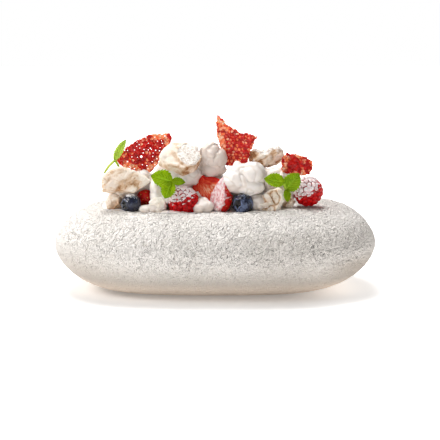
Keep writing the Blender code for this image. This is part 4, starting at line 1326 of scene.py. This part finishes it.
def leaf(length, width, seed):
    """(points, faces, vein) of a toothed, veined leaf along +Y, facing +Z, in metres."""
    steps, sides = 72, 15
    across = np.linspace(-1, 1, 2 * sides + 1)
    along = np.linspace(0, 1, steps + 1)
    v, u = np.meshgrid(along, across, indexing="ij")
    half = width / 2 * np.sin(math.pi * np.minimum(0.985, 0.05 + 0.95 * v) ** 0.8) ** 0.75
    teeth = 7.5
    tooth = (v * teeth) % 1.0
    half = half * (1 + 0.21 * (0.55 - tooth) * smoothstep(0.04, 0.2, v) * smoothstep(1.0, 0.85, v))
    x = u * half
    sweep = 0.16 * length * np.abs(u) ** 1.3
    y = length * (v - 0.04) + sweep * 0.35 * smoothstep(1.0, 0.7, v)
    quill = np.exp(-((u / 0.07) ** 2))
    branch = v - 0.30 * np.abs(u)
    side = np.abs(((branch * teeth) % 1.0) - 0.5)
    ribs = smoothstep(0.16, 0.0, side) * smoothstep(1.0, 0.6, np.abs(u)) * smoothstep(0.03, 0.12, np.abs(u))
    puff = (side * 2) * (1 - np.abs(2 * np.abs(u) - 1) ** 2)
    solid = np.stack([x, y, np.full_like(x, seed * 7.0)], -1).reshape(-1, 3) * MM
    wrinkle = fractal(solid, 2.2 * MM, 2, seed).reshape(x.shape)
    z = 0.30 * np.abs(x) - 1.6 * v * v + 0.5 * puff - 0.32 * ribs - 0.42 * quill + 0.16 * wrinkle
    vein = np.maximum(quill, 0.8 * ribs)
    thick = 0.28 + 0.18 * quill
    rows = steps + 1
    wide = 2 * sides + 1
    top = np.stack([x, y, z + thick / 2], -1).reshape(-1, 3)
    low = np.stack([x, y, z - thick / 2 - 0.22 * quill], -1).reshape(-1, 3)
    faces = []
    offset = rows * wide
    for i in range(steps):
        for j in range(wide - 1):
            a, b, c, d = i * wide + j, i * wide + j + 1, (i + 1) * wide + j + 1, (i + 1) * wide + j
            faces.append((a, b, c, d))
            faces.append((a + offset, d + offset, c + offset, b + offset))
    border = [j for j in range(wide)] + [(i + 1) * wide - 1 for i in range(1, rows)]
    border += [steps * wide + j for j in range(wide - 2, -1, -1)]
    border += [i * wide for i in range(steps - 1, 0, -1)]
    for a, b in zip(border, border[1:] + border[:1]):
        faces.append((b, a, a + offset, b + offset))
    return np.vstack([top, low]) * MM, faces, np.concatenate([vein.ravel(), 0.6 * vein.ravel()])


def stalk(start, way, length, radius, bend):
    """A slightly bent tube with round ends."""
    way = np.array(way, float) / np.linalg.norm(way)
    side = np.cross(way, (0.3, 0.2, 1.0))
    side /= np.linalg.norm(side)
    other = np.cross(way, side)
    count, steps = 14, 22
    rings = []
    for step in range(steps + 1):
        share = step / steps
        middle = start + way * length * share + other * bend * share * share
        swell = radius * math.sqrt(max(0.02, 1 - (2 * share - 1) ** 12)) * (1.1 - 0.2 * share)
        angle = np.arange(count) * math.tau / count
        rings.append(middle + swell * (np.outer(np.cos(angle), side) + np.outer(np.sin(angle), other)))
    points = np.vstack(rings + [rings[0].mean(0)[None], rings[-1].mean(0)[None]])
    return points, loft_faces(steps + 1, count)


def sprig(node, joint, leaves, stalk_way, stalk_length):
    points, faces, vein, shade, pale = [], [], [], [], []
    total = 0
    joint = np.array(joint) * MM

    def add(new_points, new_faces, new_vein, dark, light):
        nonlocal total
        points.append(new_points)
        faces.extend(tuple(i + total for i in face) for face in new_faces)
        total += len(new_points)
        vein.append(new_vein)
        shade.append(np.full(len(new_points), dark))
        pale.append(np.full(len(new_points), light))

    for number, (start, along, face, length, width, dark, light) in enumerate(leaves):
        blade, blade_faces, blade_vein = leaf(length, width, 600 + 10 * number + len(node))
        y_axis = np.array(along, float) / np.linalg.norm(along)
        z_axis = np.array(face, float) - y_axis * (np.array(face, float) @ y_axis)
        z_axis /= np.linalg.norm(z_axis)
        axes = np.stack([np.cross(y_axis, z_axis), y_axis, z_axis])
        add(blade @ axes + joint + np.array(start) * MM, blade_faces, blade_vein, dark, light)
    tube, tube_faces = stalk(joint, stalk_way, stalk_length * MM, 0.75 * MM, 0.8 * MM)
    add(tube, tube_faces, np.full(len(tube), 0.4), 0.1, 0.3)
    mesh = mesh_from(node + "_leaves", settle(np.vstack(points), node), faces)
    set_attribute(mesh, "vein", np.concatenate(vein))
    set_attribute(mesh, "shade", np.concatenate(shade))
    set_attribute(mesh, "pale", np.concatenate(pale))
    new_piece(node + "_leaves", mesh, MINT, "mint", node)


# Everything in the bowl

cream_filling()
cream_between()
dollops = sorted(node for node in NODES if node.startswith("cream_") and node != "cream_filling")
for number, name in enumerate(dollops):
    whipped(name, 700 + 20 * number)
for name, settings in BROKEN.items():
    broken_meringue(name, *settings)
domed_meringue("meringue_slab", 103)
for name, settings in TUILES.items():
    lace_sheet(name, *settings)
for name, settings in RASPBERRIES.items():
    raspberry(name, *settings)
for name, settings in BLUEBERRIES.items():
    blueberry(name, *settings)
for name, settings in STRAWBERRIES.items():
    seed_triangles = strawberry(name, *settings)
strawberry_seeds(seed_triangles)
for name, settings in SPRIGS.items():
    sprig(name, *settings)


# Stage

# The floor glows as well as being lit, which is painted light: least in an oval under the bowl, so that a shadow
# shows there, more towards the right, where it washes out the key lamp's shadow, and most far off.
SKY_STRENGTH = 0.21
HOLE_GLOW = 0.13
FLOOR_GLOW = 0.36
SIDE_GLOW = 0.17
FAR_GLOW = 0.75
GLOW_HOLE = (0.074, 0.1)
GLOW_HOLE_CENTRE = (-0.012, -0.055)
# Each lamp: its place, power, size and colour.
LAMPS = {
    "key": ((-0.9, -0.4, 0.75), 7.1, 0.45, (1.0, 0.99, 0.98)),
    "top": ((-0.15, 0.3, 1.1), 16.5, 0.7, (1.0, 0.995, 0.99)),
}
LIT_POINT = Vector((0, 0, 0.05))
CAMERA_TARGET = Vector((0.0033, 0.0, 0.046))
CAMERA_DISTANCE = 0.84
CAMERA_ELEVATION = math.radians(10)
CAMERA_LENS = 100
SENSOR_WIDTH = 36


def stage():
    floor_mesh = bpy.data.meshes.new("floor")
    maker = bmesh.new()
    bmesh.ops.create_grid(maker, x_segments=1, y_segments=1, size=3.0)
    maker.to_mesh(floor_mesh)
    maker.free()
    floor = bpy.data.objects.new("floor", floor_mesh)
    bpy.context.scene.collection.objects.link(floor)
    floor.location.z = CAD_BOX[0][2]
    paper = Shader("floor_paper")
    paper.principled(Base_Color=(0.92, 0.915, 0.91, 1), Roughness=0.9, Specular_IOR_Level=0.1)
    flat = paper.node("ShaderNodeMapping", Vector=paper.place)
    flat.vector_type = "TEXTURE"
    flat.inputs["Location"].default_value = (*GLOW_HOLE_CENTRE, 0)
    flat.inputs["Scale"].default_value = (*GLOW_HOLE, 1)
    away = paper.node("ShaderNodeVectorMath", Vector=flat.outputs["Vector"])
    away.operation = "LENGTH"
    glow = paper.band(away.outputs["Value"], 0.75, 1.5, HOLE_GLOW, FLOOR_GLOW)
    far = paper.band(away.outputs["Value"], 4.0, 9.0, 0.0, FAR_GLOW)
    apart = paper.node("ShaderNodeSeparateXYZ", Vector=paper.place)
    side = paper.band(apart.outputs["X"], 0.06, 0.11, 0.0, SIDE_GLOW)
    strength = paper.math("ADD", paper.math("ADD", glow, far), side)
    paper.principled(Emission_Color=(1.0, 0.99, 0.98, 1), Emission_Strength=strength)
    floor_mesh.materials.append(paper.material)

    world = bpy.data.worlds.new("studio")
    world.use_nodes = True
    nodes, links = world.node_tree.nodes, world.node_tree.links
    sky_place = nodes.new("ShaderNodeTexCoord")
    split = nodes.new("ShaderNodeSeparateXYZ")
    fade = nodes.new("ShaderNodeMapRange")
    fade.interpolation_type = "SMOOTHSTEP"
    for socket, value in zip(RANGE_SOCKETS, (0.08, 0.3, 1.0, SKY_STRENGTH)):
        fade.inputs[socket].default_value = value
    links.new(sky_place.outputs["Generated"], split.inputs[0])
    links.new(split.outputs["Z"], fade.inputs["Value"])
    links.new(fade.outputs["Result"], nodes["Background"].inputs["Strength"])
    nodes["Background"].inputs["Color"].default_value = (1.0, 1.0, 1.0, 1)
    bpy.context.scene.world = world

    def soft_light(name, place, energy, size, colour):
        lamp = bpy.data.lights.new(name, "AREA")
        lamp.energy = energy
        lamp.size = size
        lamp.color = colour
        holder = bpy.data.objects.new(name, lamp)
        holder.location = place
        aim = LIT_POINT - Vector(place)
        holder.rotation_euler = aim.to_track_quat("-Z", "Y").to_euler()
        bpy.context.scene.collection.objects.link(holder)

    for name, settings in LAMPS.items():
        soft_light(name, *settings)

    camera = bpy.data.cameras.new("camera")
    camera.lens = CAMERA_LENS
    camera.sensor_width = SENSOR_WIDTH
    holder = bpy.data.objects.new("camera", camera)
    back = Vector((0, -math.cos(CAMERA_ELEVATION), math.sin(CAMERA_ELEVATION)))
    holder.location = CAMERA_TARGET + CAMERA_DISTANCE * back
    holder.rotation_euler = (CAMERA_TARGET - holder.location).to_track_quat("-Z", "Y").to_euler()
    bpy.context.scene.collection.objects.link(holder)
    bpy.context.scene.camera = holder
    bpy.context.scene.view_settings.view_transform = "Standard"


stage()
